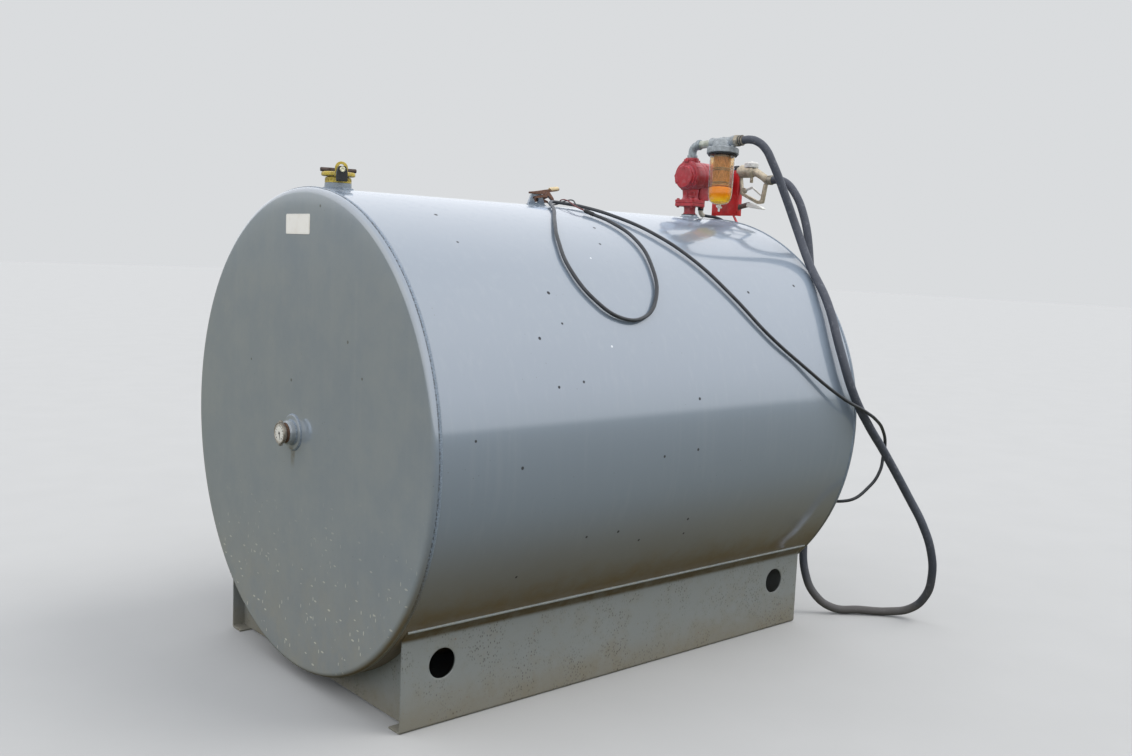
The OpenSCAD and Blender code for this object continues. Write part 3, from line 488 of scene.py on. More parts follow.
def tank_paint(name):
    """Gloss paint: orange peel, faint long waves, dust and a brown film low down, specks and thin runs."""
    f = Finish(name)
    base = colour_of("paint")
    wave = f.noise(1.3, 2, 0.5)
    tint = f.mix(wave * 0.35, base, shade(base, 0.86))
    streak = f.between(f.noise(1.0, 5, 0.6, vector=f.scaled(34, 34, 0.9)), 0.48, 0.78)
    tint = f.mix(streak * 0.07, tint, linear((0.66, 0.68, 0.68)))
    side = f.between(abs(f.x - TANK_MIDDLE), 1.012, 1.000)
    low = f.between(f.z + (f.noise(3.5, 4, 0.6) - 0.5) * 0.35, 0.62, 0.05)
    grime = f.between(f.noise(9, 6, 0.7), 0.35, 0.72)
    dust = f.mix(side, linear((0.56, 0.545, 0.50)), linear((0.40, 0.375, 0.325)))
    tint = f.mix(low * (grime * 0.50 + 0.25), tint, dust)
    tint = f.mix(side * f.between(f.z, 0.74, 0.44) * 0.5, tint, linear((0.40, 0.34, 0.24)))
    film = side * f.between(f.z + (f.noise(13, 5, 0.65) - 0.5) * 0.12, 0.49, 0.34)
    tint = f.mix(film * (grime * 0.25 + 0.67), tint, linear((0.40, 0.32, 0.16)))
    fleck = f.between(f.noise(150, 4, 0.65), 0.66, 0.70) * f.between(f.z, 0.75, 0.15)
    tint = f.mix(fleck * 0.3, tint, linear((0.56, 0.52, 0.42)))
    dark = f.specks(DARK_SPECKS)
    tint = f.mix(dark * 0.95, tint, linear((0.08, 0.08, 0.09)))
    tint = f.mix(f.specks(PALE_SPECKS) * 0.7, tint, linear((0.86, 0.88, 0.90)))
    # Ends lightened by a pale veil: partly settled dust, partly painted light standing in for more light on
    # the ends.
    end_dust_and_light = (1 - side) * (f.between(f.noise(7, 5, 0.65), 0.30, 0.70) * 0.14 + 0.14)
    tint = f.mix(end_dust_and_light, tint, linear((0.66, 0.66, 0.62)))
    chaff = f.between(f.cells(38, f.scaled(1, 0.36, 1)), 0.135, 0.095)
    chaff = chaff.most(f.between(f.cells(46, f.scaled(1, 1, 0.34)), 0.13, 0.09))
    chaff = chaff * (1 - side) * f.between(f.z + (f.noise(5, 4) - 0.5) * 0.5, 0.72, 0.12)
    tint = f.mix(chaff * 0.75, tint, linear((0.84, 0.83, 0.77)))
    crumbs = f.between(f.cells(34), 0.07, 0.04) * f.between(f.noise(4, 2), 0.52, 0.62)
    tint = f.mix(crumbs * 0.5, tint, linear((0.20, 0.20, 0.20)))
    rust = f.between(abs(f.y - GAUGE_Y), 0.020, 0.004) * f.between(f.z, 0.808, 0.79) * f.between(f.z, 0.715,
                                                                                                 0.785)
    rust = rust * f.between(f.x, -1.02, -1.045) * (f.between(f.noise(40, 5, 0.7), 0.35, 0.60) * 0.5 + 0.4)
    tint = f.mix(rust, tint, linear((0.34, 0.29, 0.20)))
    rough = 0.29 + dark * 0.4 + low * 0.22 + film * 0.20 + streak * 0.05
    rough = rough + f.between(f.noise(40, 3), 0.45, 0.75) * 0.05
    height = f.noise(420, 2) * 0.06 + f.noise(2.2, 1, 0.4) * 2.0 + fleck * 0.2
    return f.surface(tint, rough, bump=height, depth=0.0010, strength=0.30, Specular_IOR_Level=0.6,
                     Coat_Weight=(1 - film * 0.6) * (1 - dark), Coat_Roughness=0.08, Coat_IOR=1.95)


def skid_paint(name):
    """The paint on the skids: duller, with mud, specks and rust at the lower edge and round the holes."""
    f = Finish(name)
    base = [c * k for c, k in zip(colour_of("paint")[:3], (1.24, 1.08, 0.86))] + [1]
    tint = f.mix(f.noise(3, 3) * 0.4, base, shade(base, 0.82))
    mud = f.between(f.z + (f.noise(8, 5, 0.65) - 0.5) * 0.16, 0.16, 0.0)
    film = f.between(f.noise(14, 6, 0.7), 0.42, 0.70)
    tint = f.mix(mud * 0.60 + film * 0.24, tint, linear((0.47, 0.44, 0.37)))
    spots = f.between(f.cells(135, f.scaled(1, 1, 0.55)), 0.33, 0.18) * f.between(f.noise(7, 5, 0.65), 0.42,
                                                                                  0.62)
    spots = spots.most(f.between(f.noise(150, 4, 0.7), 0.655, 0.70))
    tint = f.mix(spots * 0.72, tint, linear((0.18, 0.17, 0.16)))
    chips = f.between(f.noise(70, 5, 0.7), 0.655, 0.69)
    tint = f.mix(chips * 0.6, tint, linear((0.42, 0.24, 0.14)))
    ledge = f.between(f.z, 0.285, 0.300) * (f.between(f.noise(24, 4, 0.6), 0.30, 0.60) * 0.25 + 0.68)
    tint = f.mix(ledge, tint, linear((0.31, 0.245, 0.115)))
    rough = 0.38 + mud * 0.4 + film * 0.12
    height = f.noise(380, 2) * 0.2 + f.noise(5, 2) * 1.5 + spots
    return f.surface(tint, rough, bump=height, depth=0.0010, strength=0.35)


def weld_paint(name):
    """Painted weld metal: painted highlight on the crests and painted shade in the hollows."""
    f = Finish(name)
    base = colour_of("paint")
    # Painted highlight and shade: noise mixes a darker and a brighter copy of the paint, standing for shaded
    # hollows and lit crests.
    painted_crest_light = f.between(f.noise(220, 3, 0.6), 0.40, 0.62)
    tint = f.mix(painted_crest_light, shade(base, 0.80), shade(base, 1.25))
    off_seam = abs(abs(f.x - TANK_MIDDLE) - SEAM_REACH)
    line = f.between(off_seam, 0.0028, 0.0012) * f.between(f.noise(120, 3, 0.6), 0.44, 0.54)
    tint = f.mix(line * 0.75, tint, linear((0.20, 0.21, 0.22)))
    low = f.between(f.z, 0.42, 0.30) * (f.between(f.noise(60, 4), 0.40, 0.60) * 0.3 + 0.5)
    tint = f.mix(low, tint, linear((0.60, 0.60, 0.55)))
    seam = f.between(off_seam, 0.016, 0.010) * f.between(f.z, 0.66, 0.42)
    tint = f.mix(seam * 0.72, tint, linear((0.34, 0.295, 0.20)))
    return f.surface(tint, 0.30 + painted_crest_light * 0.1, bump=f.noise(500, 3) + f.noise(120, 2), depth=0.0009,
                     strength=0.6)


def worn_paint(name, key, dark, chip, rough, grit, dust):
    """Cast or sheet metal under one coat: casting grain, chalked high spots, chips and settled dust."""
    f = Finish(name)
    base = colour_of(key)
    tint = f.mix(f.between(f.noise(24, 4, 0.6), 0.36, 0.66), shade(base, dark), base)
    chalk = f.between(f.noise(60, 5, 0.7), 0.50, 0.72)
    tint = f.mix(chalk * dust, tint, linear((0.73, 0.68, 0.67)))
    chips = f.between(f.noise(90, 5, 0.75), 0.66, 0.70)
    tint = f.sky_in_reflections(f.mix(chips * 0.8, tint, linear(chip)))
    height = f.noise(grit * 4, 3) * 0.5 + f.noise(grit, 2) - chips * 0.6
    return f.surface(tint, rough + chalk * 0.22, bump=height, depth=0.0006, strength=0.55)


def metal(name, colour, rough, stain, amount, grain, metallic):
    """Bare or plated metal: mottled tone, stains in patches and a fine grain."""
    f = Finish(name)
    base = linear(colour)
    mottle = f.noise(70, 5, 0.65)
    tint = f.mix(f.between(mottle, 0.34, 0.68), shade(base, 0.62), base)
    dirt = f.between(f.noise(34, 5, 0.7, 0.6), 0.50, 0.72)
    tint = f.sky_in_reflections(f.mix(dirt * amount, tint, linear(stain)))
    return f.surface(tint, rough + dirt * 0.3 + mottle * 0.12, metallic - dirt * 0.5 * metallic,
                     bump=f.noise(grain * 3, 3) * 0.6 + mottle, depth=0.0005, strength=0.5)


def plastic(name, colour, rough, dust):
    """Moulded plastic or rubber: fine grain, worn tone and a film of dust."""
    f = Finish(name)
    base = linear(colour)
    wear = f.between(f.noise(30, 4, 0.65), 0.42, 0.70)
    tint = f.sky_in_reflections(f.mix(wear * dust, base, linear([min(1, c * 0.6 + 0.25) for c in colour])), 0.3)
    return f.surface(tint, rough + wear * 0.2, bump=f.noise(600, 3) + wear * 0.4, depth=0.0004, strength=0.5)


def hose_rubber(name):
    """Hose cover: slate rubber with a cloth print, scuffs and pale dust along it."""
    f = Finish(name)
    base = colour_of("hose")
    weave = f.noise(640, 2, 0.5)
    scuff = f.between(f.noise(48, 6, 0.75), 0.52, 0.68)
    tint = f.mix(f.between(weave, 0.40, 0.62) * 0.45, base, shade(base, 0.55))
    tint = f.mix(scuff * 0.45, tint, linear((0.46, 0.47, 0.50)))
    speck = f.between(f.noise(240, 4, 0.7), 0.62, 0.68)
    tint = f.mix(speck * 0.55, tint, linear((0.14, 0.15, 0.17)))
    mud = f.between(f.z + (f.noise(9, 4) - 0.5) * 0.3, 0.22, 0.02)
    tint = f.sky_in_reflections(f.mix(mud * 0.45, tint, linear((0.40, 0.37, 0.32))), 0.5)
    return f.surface(tint, 0.50 + scuff * 0.16 + mud * 0.2, bump=weave * 0.7 + scuff * 0.5, depth=0.0007,
                     strength=0.5)


def amber_bowl(name):
    """Clear amber plastic: glass-like, with faint moulding haze."""
    f = Finish(name)
    haze = f.between(f.noise(40, 4), 0.45, 0.75)
    tint = f.sky_in_reflections(f.mix(haze * 0.3, linear((0.97, 0.85, 0.64)), linear((0.93, 0.79, 0.58))))
    return f.surface(tint, 0.05 + haze * 0.08, Transmission_Weight=1.0, IOR=1.30, Alpha=0.84)


def fuel(name):
    """Fuel in the bowl: a deep yellow body, brighter towards its foot, that glows faintly in its own colour:
    painted light.
    """
    f = Finish(name)
    swirl = f.noise(26, 3)
    deep = f.between(f.z + (swirl - 0.5) * 0.03, 1.765, 1.735)
    tint = f.mix(deep, linear((0.88, 0.60, 0.03)), linear((1.0, 0.90, 0.05)))
    tint = f.mix(swirl * 0.15, tint, linear((0.82, 0.50, 0.03)))
    # Painted light: a faint glow of the fuel's own colour, though the fuel is no lamp.
    f.shader.inputs["Emission Strength"].default_value = 0.25
    tint = f.sky_in_reflections(tint)
    f.put(f.shader.inputs["Emission Color"], tint)
    return f.surface(tint, 0.12, bump=swirl, depth=0.0003, strength=0.2)


def mesh_element(name):
    """The element's wrapped paper: fine diamond mesh and soft pleats, tan with wet dark areas."""
    f = Finish(name)
    mesh = f.cells(290, jitter=0.15)
    blot = f.between(f.noise(24, 4, 0.6), 0.40, 0.66)
    tint = f.mix(f.between(mesh, 0.22, 0.52), linear((0.40, 0.29, 0.19)), linear((0.82, 0.67, 0.50)))
    tint = f.sky_in_reflections(f.mix(blot * 0.3, tint, linear((0.66, 0.46, 0.30))))
    return f.surface(tint, 0.55, bump=mesh, depth=0.0008, strength=0.6)


def dial_face(name):
    """The gauge's white face: aged enamel with fine grime towards its rim."""
    f = Finish(name)
    ring = ((f.y - GAUGE_Y) ** 2 + (f.z - GAUGE_Z) ** 2) ** 0.5
    rim = f.between(ring + (f.noise(90, 4) - 0.5) * 0.012, 0.022, 0.034)
    tint = f.mix(rim * 0.55 + f.noise(60, 4) * 0.12, linear((0.90, 0.89, 0.86)), linear((0.55, 0.50, 0.42)))
    return f.surface(tint, 0.24 + rim * 0.2, bump=f.noise(300, 2), depth=0.0002, strength=0.3)


def bare_plate(name):
    """A blank enamelled plate: off-white, faintly yellowed, with dust at its rim."""
    f = Finish(name)
    edge = f.between(abs(f.y - PLATE_Y), 0.070, 0.085).most(f.between(abs(f.z - PLATE_Z), 0.024, 0.036))
    stain = f.between(f.noise(22, 4), 0.45, 0.70)
    tint = f.mix(stain * 0.25 + edge * 0.25, linear((0.97, 0.955, 0.93)), linear((0.86, 0.82, 0.77)))
    return f.surface(tint, 0.32 + stain * 0.15, bump=f.noise(260, 2), depth=0.0002, strength=0.3)


# Enamels: colour's key, tone of the dark patches, chipped colour, roughness, grit and dust
ENAMELS = {
    "pump red": ("pump", 0.78, (0.42, 0.16, 0.12), 0.30, 180.0, 0.20),
    "holder red": ("holder", 0.70, (0.30, 0.10, 0.08), 0.30, 120.0, 0.12),
    "cap yellow": ("cap", 0.70, (0.30, 0.24, 0.14), 0.34, 160.0, 0.22),
}

# Metals: colour, roughness, stain's colour, amount of stain, fineness of the grain and metallic share
METALS = {
    "bar steel": ((0.34, 0.29, 0.27), 0.45, (0.22, 0.15, 0.10), 0.6, 200.0, 0.5),
    "lock steel": ((0.88, 0.86, 0.74), 0.22, (0.50, 0.46, 0.40), 0.3, 260.0, 0.85),
    "galvanised": ((0.66, 0.69, 0.70), 0.46, (0.36, 0.36, 0.34), 0.5, 180.0, 0.6),
    "pipe zinc": ((0.76, 0.77, 0.72), 0.42, (0.52, 0.54, 0.44), 0.5, 200.0, 0.5),
    "filter grey": ((0.66, 0.68, 0.69), 0.50, (0.36, 0.38, 0.38), 0.45, 240.0, 0.45),
    "coupling brass": ((0.68, 0.64, 0.57), 0.34, (0.24, 0.19, 0.15), 0.8, 260.0, 0.75),
    "nozzle alloy": ((0.80, 0.745, 0.65), 0.36, (0.46, 0.38, 0.28), 0.45, 220.0, 0.45),
    "cap alloy": ((0.90, 0.89, 0.87), 0.34, (0.64, 0.59, 0.52), 0.3, 220.0, 0.3),
    "trigger steel": ((0.91, 0.90, 0.87), 0.34, (0.60, 0.54, 0.46), 0.3, 260.0, 0.3),
    "lever steel": ((0.50, 0.42, 0.39), 0.44, (0.30, 0.20, 0.17), 0.6, 200.0, 0.5),
    "clip copper": ((0.50, 0.37, 0.31), 0.34, (0.15, 0.10, 0.09), 0.85, 240.0, 0.7),
    "gauge iron": ((0.44, 0.33, 0.25), 0.55, (0.26, 0.16, 0.10), 0.7, 160.0, 0.35),
    "dial case": ((0.66, 0.63, 0.58), 0.4, (0.36, 0.29, 0.22), 0.6, 220.0, 0.5),
    "dark metal": ((0.16, 0.14, 0.13), 0.5, (0.24, 0.16, 0.11), 0.5, 200.0, 0.5),
}

# Plastics and rubbers: colour, roughness and dust
PLASTICS = {
    "lock black": ((0.085, 0.085, 0.09), 0.40, 0.25),
    "gasket black": ((0.10, 0.10, 0.105), 0.55, 0.2),
    "drain white": ((0.86, 0.85, 0.82), 0.35, 0.2),
    "paddle white": ((0.90, 0.90, 0.88), 0.34, 0.14),
    "rubber black": ((0.09, 0.09, 0.095), 0.5, 0.2),
    "cable black": ((0.155, 0.165, 0.18), 0.36, 0.35),
    "lead red": ((0.40, 0.13, 0.12), 0.40, 0.2),
    "clip sleeve": ((0.80, 0.72, 0.56), 0.40, 0.3),
    "conduit": ((0.78, 0.76, 0.69), 0.50, 0.3),
}

OTHERS = {
    "tank paint": tank_paint,
    "skid paint": skid_paint,
    "weld paint": weld_paint,
    "amber bowl": amber_bowl,
    "fuel": fuel,
    "element": mesh_element,
    "hose rubber": hose_rubber,
    "dial face": dial_face,
    "bare plate": bare_plate,
}

FINISHES = {}


def finish(name):
    """The named finish, made once."""
    if name not in FINISHES:
        for table, make in ((ENAMELS, worn_paint), (METALS, metal), (PLASTICS, plastic)):
            if name in table:
                FINISHES[name] = make(name, *table[name])
        if name in OTHERS:
            FINISHES[name] = OTHERS[name](name)
    return FINISHES[name]


# Panel settings

def colour_property(name, description, colour):
    """A colour that the panel shows."""
    return bpy.props.FloatVectorProperty(name=name, description=description, subtype="COLOR", size=3,
                                         default=colour,
                                         min=0, max=1)


def length_property(name, description, length, least, most):
    """A length that the panel shows, given in millimetres and kept in metres."""
    return bpy.props.FloatProperty(name=name, description=description, subtype="DISTANCE", unit="LENGTH",
                                   precision=4,
                                   default=length / 1000, min=least / 1000, max=most / 1000)


class FuelTankColours(bpy.types.PropertyGroup):
    """Paint and rubber colours."""
    paint: colour_property("Tank paint", "Gloss coat of the shell, ends and skids", (0.455, 0.500, 0.550))
    pump: colour_property("Pump red", "Enamel of the pump and its motor", (0.69, 0.175, 0.21))
    holder: colour_property("Holder red", "Enamel of the nozzle holder", (0.83, 0.07, 0.085))
    cap: colour_property("Cap yellow", "Enamel of the fill cap", (0.79, 0.69, 0.25))
    hose: colour_property("Hose rubber", "Cover of the delivery hose", (0.26, 0.275, 0.315))


class FuelTankSizes(bpy.types.PropertyGroup):
    """Sizes of the visible details."""
    weld_width: length_property("Seam weld width", "Width of the bead round each end", 13.0, 6, 20)
    weld_height: length_property("Seam weld height", "Height of the bead over the shell", 3.6, 1, 6)
    bolt: length_property("Bolt head radius", "Radius of the pump's bolt heads", 6.5, 4, 9)
    skid_bend: length_property("Skid bend radius", "Outer radius of the skid plate's bends", 12.0, 7, 20)


class FuelTankStage(bpy.types.PropertyGroup):
    """Light and floor."""
    sky: bpy.props.FloatProperty(name="Sky strength", description="Strength of the overcast sky",
                                 default=1.35, min=0.1, max=4)
    sun: bpy.props.FloatProperty(name="Sun strength", description="Strength of the veiled sun",
                                 default=1.6, min=0, max=10)
    floor: bpy.props.FloatProperty(name="Floor tone",
                                   description="Brightness of the floor towards the camera",
                                   default=0.40, min=0.2, max=1)


def size_of(key):
    """A size from the panel, in millimetres."""
    return round(getattr(bpy.context.scene.fuel_tank_sizes, key) * 1000, 4)


# Stage and cords

# The sky's tones by height, from the horizon to straight up
SKY = [(0.0, (0.16, 0.17, 0.15)), (0.045, (0.20, 0.22, 0.21)), (0.085, (0.70, 0.74, 0.78)),
       (0.30, (0.80, 0.83, 0.89)), (0.75, (0.93, 0.945, 0.98)), (1.0, (0.90, 0.93, 0.98))]
BACKDROP = (0.70, 0.715, 0.73)


def aim_camera(scene):
    """The camera: heading and dip turn its view, and roll turns it about the view."""
    ahead = np.array([math.cos(HEADING) * math.cos(DIP), math.sin(HEADING) * math.cos(DIP), -math.sin(DIP)])
    right = unit(np.cross(ahead, [0, 0, 1]))
    up = np.cross(right, ahead)
    x = right * math.cos(ROLL) + up * math.sin(ROLL)
    y = up * math.cos(ROLL) - right * math.sin(ROLL)
    lens = bpy.data.cameras.new("camera")
    lens.lens, lens.sensor_width, lens.sensor_fit = LENS, SENSOR, "HORIZONTAL"
    lens.clip_start, lens.clip_end = 0.05, 500.0
    camera = bpy.data.objects.new("camera", lens)
    camera.matrix_world = Matrix([*np.column_stack([x, y, -ahead, EYE]).tolist(), [0, 0, 0, 1]])
    scene.collection.objects.link(camera)
    scene.camera = camera


def hang_sky(scene, strength):
    """A pale overcast sky over a dark rim, of which the camera sees one plain tone.

    It is stronger where a reflection shows its front, and for light from its left.
    """
    world = bpy.data.worlds.new("sky")
    scene.world = world
    world.use_nodes = True
    world.node_tree.nodes.clear()
    sky = Nodes(world.node_tree)
    x, y, z = sky.parts(sky.node("ShaderNodeTexCoord").outputs["Generated"])
    ramp = sky.node("ShaderNodeValToRGB", {"stops": SKY}, Fac=z)
    camera = sky.ray("Camera")
    seen = sky.mix(camera, ramp.outputs[0], (*[c / strength for c in BACKDROP], 1))
    front = sky.ray("Glossy") * (y * -0.42).most(0.0)
    left = (x * -0.38).most(0.0) * (1 - camera)
    back = sky.node("ShaderNodeBackground", Color=seen, Strength=(front + 1.0) * (left + 1.0) * strength)
    sky.node("ShaderNodeOutputWorld", Surface=back.outputs[0])


def hang_sun(scene, strength):
    """A sun behind thin cloud: wide, weak and not seen in reflections."""
    lamp = bpy.data.lights.new("sun", "SUN")
    lamp.energy, lamp.angle, lamp.color = strength, math.radians(35), (1.0, 0.985, 0.96)
    sun = bpy.data.objects.new("sun", lamp)
    sun.visible_glossy = False
    sun.rotation_euler = (math.radians(38), math.radians(8), math.radians(38))
    scene.collection.objects.link(sun)
    return sun


def lay_floor(scene, tone, half=60, n=24):
    """A square floor, pale to the camera and dull to the paint that reflects it."""
    f = Finish("floor")
    bright = f.noise(2.5, 4) * 0.03 + (tone - 0.015)
    lit = f.node("ShaderNodeCombineColor", Red=bright, Green=bright, Blue=bright * 0.985)
    dull = f.mix(f.noise(1.2, 3), linear((0.31, 0.31, 0.245)), linear((0.38, 0.375, 0.295)))
    f.surface(f.mix(f.ray("Camera"), dull, lit.outputs[0]), 0.9)
    x, y = np.meshgrid(np.linspace(-half, half, n), np.linspace(-half, half, n), indexing="ij")
    mesh = bpy.data.meshes.new("floor")
    mesh.from_pydata(np.stack([x, y, 0 * x], -1).reshape(-1, 3).tolist(), [], faces_of(n, n, False, 0))
    floor = bpy.data.objects.new("floor", mesh)
    mesh.materials.append(f.material)
    scene.collection.objects.link(floor)
    return floor


class FUELTANK_OT_stage(bpy.types.Operator):
    """Camera, sky, sun and floor"""
    bl_idname = "fuel_tank.stage"
    bl_label = "Stage"
    bl_options = {"REGISTER"}

    def execute(self, context):
        scene, stage = context.scene, context.scene.fuel_tank_stage
        for obj in [o for o in scene.objects if o.type in {"CAMERA", "LIGHT"}]:
            bpy.data.objects.remove(obj)
        aim_camera(scene)
        hang_sky(scene, stage.sky)
        sun = hang_sun(scene, stage.sun)
        lay_floor(scene, stage.floor)
        return {"FINISHED"}


def strand(name, points, diameter, tone, node):
    """A round cord through points, as a smooth curve."""
    curve = bpy.data.curves.new(name, "CURVE")
    curve.dimensions = "3D"
    curve.bevel_depth, curve.bevel_resolution, curve.resolution_u = diameter / 2000.0, 6, 12
    curve.use_fill_caps = True
    line = curve.splines.new("BEZIER")
    world = at(TANK, points) / 1000.0
    line.bezier_points.add(len(world) - 1)
    line.bezier_points.foreach_set("co", world.ravel())
    for point in line.bezier_points:
        point.handle_left_type = point.handle_right_type = "AUTO"
    obj = bpy.data.objects.new(name, curve)
    bpy.context.scene.collection.objects.link(obj)
    curve.materials.append(finish(tone))
    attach(obj, "tank")
    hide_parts(node)
    return obj, tuple(world[0])


def from_pump(x, y, z):
    """A point of the pump's frame, measured from the near seam."""
    c, s = math.cos(PUMP_TURN), math.sin(PUMP_TURN)
    return np.array([PUMP_X + x * c - y * s, x * s + y * c, CROWN + z])


class FUELTANK_OT_hose(bpy.types.Operator):
    """Delivery hose from the filter's coupling, down to the ground and up to the nozzle"""
    bl_idname = "fuel_tank.hose"
    bl_label = "Hose"
    bl_options = {"REGISTER"}

    def execute(self, context):
        rise = math.radians(OUTLET_RISE)
        mouth = from_pump(0, -MOUTH_Y * math.cos(rise), OUTLET_Z + MOUTH_Y * math.sin(rise))
        swivel = from_pump(NOZZLE_X, -SWIVEL_Y, SWIVEL_Z)
        hose, start = strand("delivery_hose", [mouth, *HOSE, swivel], 34, "hose rubber", "hose")
        return {"FINISHED"}


class FUELTANK_OT_cable(bpy.types.Operator):
    """Power cable from the pump, over the shell to the lifting lug, with its leads and clips"""
    bl_idname = "fuel_tank.cable"
    bl_label = "Power cable"
    bl_options = {"REGISTER"}

    def execute(self, context):
        cable, start = strand("power_cable_run", [from_pump(100, 0, 15.5), *CABLE], 13, "cable black",
                              "power_cable")
        tip, split = np.array(CABLE[-1], float), np.array(SPLIT, float)
        side = unit(np.cross(split - tip, [0, 0, 1]))
        steps = np.array([0, 0.04, 0.3, 0.34, 0.62, 0.66, 0.9, 1.0])
        tube = bar(tip + np.outer(steps, split - tip), [6.9, 7.8, 8, 7.6, 7.6, 8, 8, 6.5])
        sleeve = piece("cable_split_sleeve", [(tube, TANK)], "rubber black", instead="cable_end")
        for name, route, sign, target, tone in (
                ("lead_red", RED, -3.7, [LUG_X + 57, -12.3, CROWN + 40], "lead red"),
                ("lead_black", BLACK, 3.7, [LUG_X + 64.8, 12.3, CROWN + 15.9], "rubber black")):
            strand(name + "_run", [split + sign * side, *route, target], 5, tone, name)
        clips = [clip("clip_red_body", "clip_red", -1), clip("clip_black_body", "clip_black", 1)]
        return {"FINISHED"}


def clip(name, node, side):
    """A battery clip on one side of the lug: folded jaws, a pivot pin and ribbed sleeves on the grips."""
    lug = TANK @ shift(LUG_X, 0, CROWN)
    if side < 0:
        jaws = [([[-37, 0.3], [-37, 7.3], [-5, 11.3], [38, 19.3], [103, 29.3], [104, 21.3], [45, 8.3],
                  [27, 0.3]], -14, 2, 43),
                ([[-22, 25], [-20, 33], [30, 44], [40, 54], [50, 54], [73, 30], [70, 22], [44, 40], [36, 34]],
                 -20.3, -5.3, 0)]
        hinge, grips = (36, 50), [([60, -6, 63.5], [103, -6, 70], 9.5), ([50, -12.8, 49], [72, -12.8, 28], 6)]
    else:
        jaws = [([[-18, 18], [-17, 26], [30, 31], [62, 42], [66, 34], [46, 26], [66, 20], [63, 12], [36, 18],
                  [-8, 12]], 5.3, 20.3, 0)]
        hinge, grips = (34, 25), []
    to_side = turn(90, "X")
    parts = []
    for outline, low, high, lift in jaws:
        outline = [[x, z + lift] for x, z in outline]
        for a, b in ((low, low + 1.6), (high - 1.6, high)):
            parts.append((plate(outline, -b, -a, 0.4, 2.5), lug @ to_side))
        inner = np.array(outline, float)
        inner = inner.mean(0) + (inner - inner.mean(0)) * 0.90
        parts.append((plate(inner, -high + 1.2, -low - 1.2, 0.4, 2.0), lug @ to_side))
    y = -12.8 if side < 0 else 12.8
    parts.append((bar([[hinge[0], y - 7, hinge[1] - 4], [hinge[0], y + 7, hinge[1] - 4]], 3.2), lug))
    body = piece(name, parts, "clip copper", instead=node)
    for index, (a, b, radius) in enumerate(grips):
        steps = np.linspace(0, 1, 9)[:, None]
        line = np.array(a) + (np.array(b) - np.array(a)) * steps
        ribs = radius * np.array([0.82, 0.9, 0.97, 0.92, 0.98, 0.92, 0.98, 0.94, 0.8])
        piece(name + "_sleeve_%d" % index, [(bar(line, ribs, 18), lug)], "clip sleeve")
    return body


# Tank

def limited(surface):
    """A surface kept inside the tank's widest reach on the far side."""
    grid, capped, wrap = surface
    grid = grid.copy()
    grid[..., 1] = np.minimum(grid[..., 1], SHELL_R)
    return grid, capped, wrap


def end_profile():
    """Half section of an end: flat disc, knuckle arc and lip, outside then inside, as (radius, reach)."""
    depth, t = LIP + KNUCKLE, SHELL_WALL
    a = np.linspace(np.pi / 2, 0, 14)
    outer = np.stack([SHELL_R - KNUCKLE + KNUCKLE * np.cos(a), LIP + KNUCKLE * np.sin(a)], 1)
    inner = np.stack([SHELL_R - KNUCKLE + (KNUCKLE - t) * np.cos(a[::-1]),
                      LIP + (KNUCKLE - t) * np.sin(a[::-1])], 1)
    flat = [[r, depth] for r in np.linspace(0, SHELL_R - KNUCKLE, 14)[:-1]]
    back = [[r, depth - t] for r in np.linspace(SHELL_R - KNUCKLE, 0, 10)[1:]]
    return np.array([*flat, *outer, [SHELL_R, 0.2], [SHELL_R - t, 0.2], *inner, *back])


def circle(radius, n=720):
    """A closed circle about X in the plane across the tank, and its outward directions."""
    a = np.linspace(0, 2 * np.pi, n)
    way = np.stack([0 * a, np.cos(a), np.sin(a)], 1)
    return way * radius, way


class FUELTANK_OT_shell(bpy.types.Operator):
    """Shell, both ends and the weld beads"""
    bl_idname = "fuel_tank.shell"
    bl_label = "Shell and ends"
    bl_options = {"REGISTER"}

    def execute(self, context):
        axis = TANK @ shift(0, 0, AXIS_Z)
        rows = [[SHELL_R, x] for x in np.linspace(0, SHELL_LEN, 40)]
        rows += [[SHELL_R - SHELL_WALL, x] for x in np.linspace(SHELL_LEN, 0, 12)] + [[SHELL_R, 0]]
        piece("tank_shell", [(turned(rows, 320), axis @ ALONG_X)], "tank paint", instead="shell", angle=40)
        end = turned(end_profile(), 320)
        for name, place in (("near", turn(-90, "Y")), ("far", shift(SHELL_LEN, 0, 0) @ ALONG_X)):
            piece(name + "_end_plate", [(end, axis @ place)], "tank paint", instead=name + "_head", angle=40)
        points, out = circle(SHELL_R - 0.6)
        for name, x, seed in (("near", 0.0, 5), ("far", SHELL_LEN, 3)):
            run = bead(points, out, size_of("weld_width"), size_of("weld_height"), 7.0, seed)
            weld(name + "_end_weld", [(limited(run), axis @ shift(x, 0, 0))])
        return {"FINISHED"}


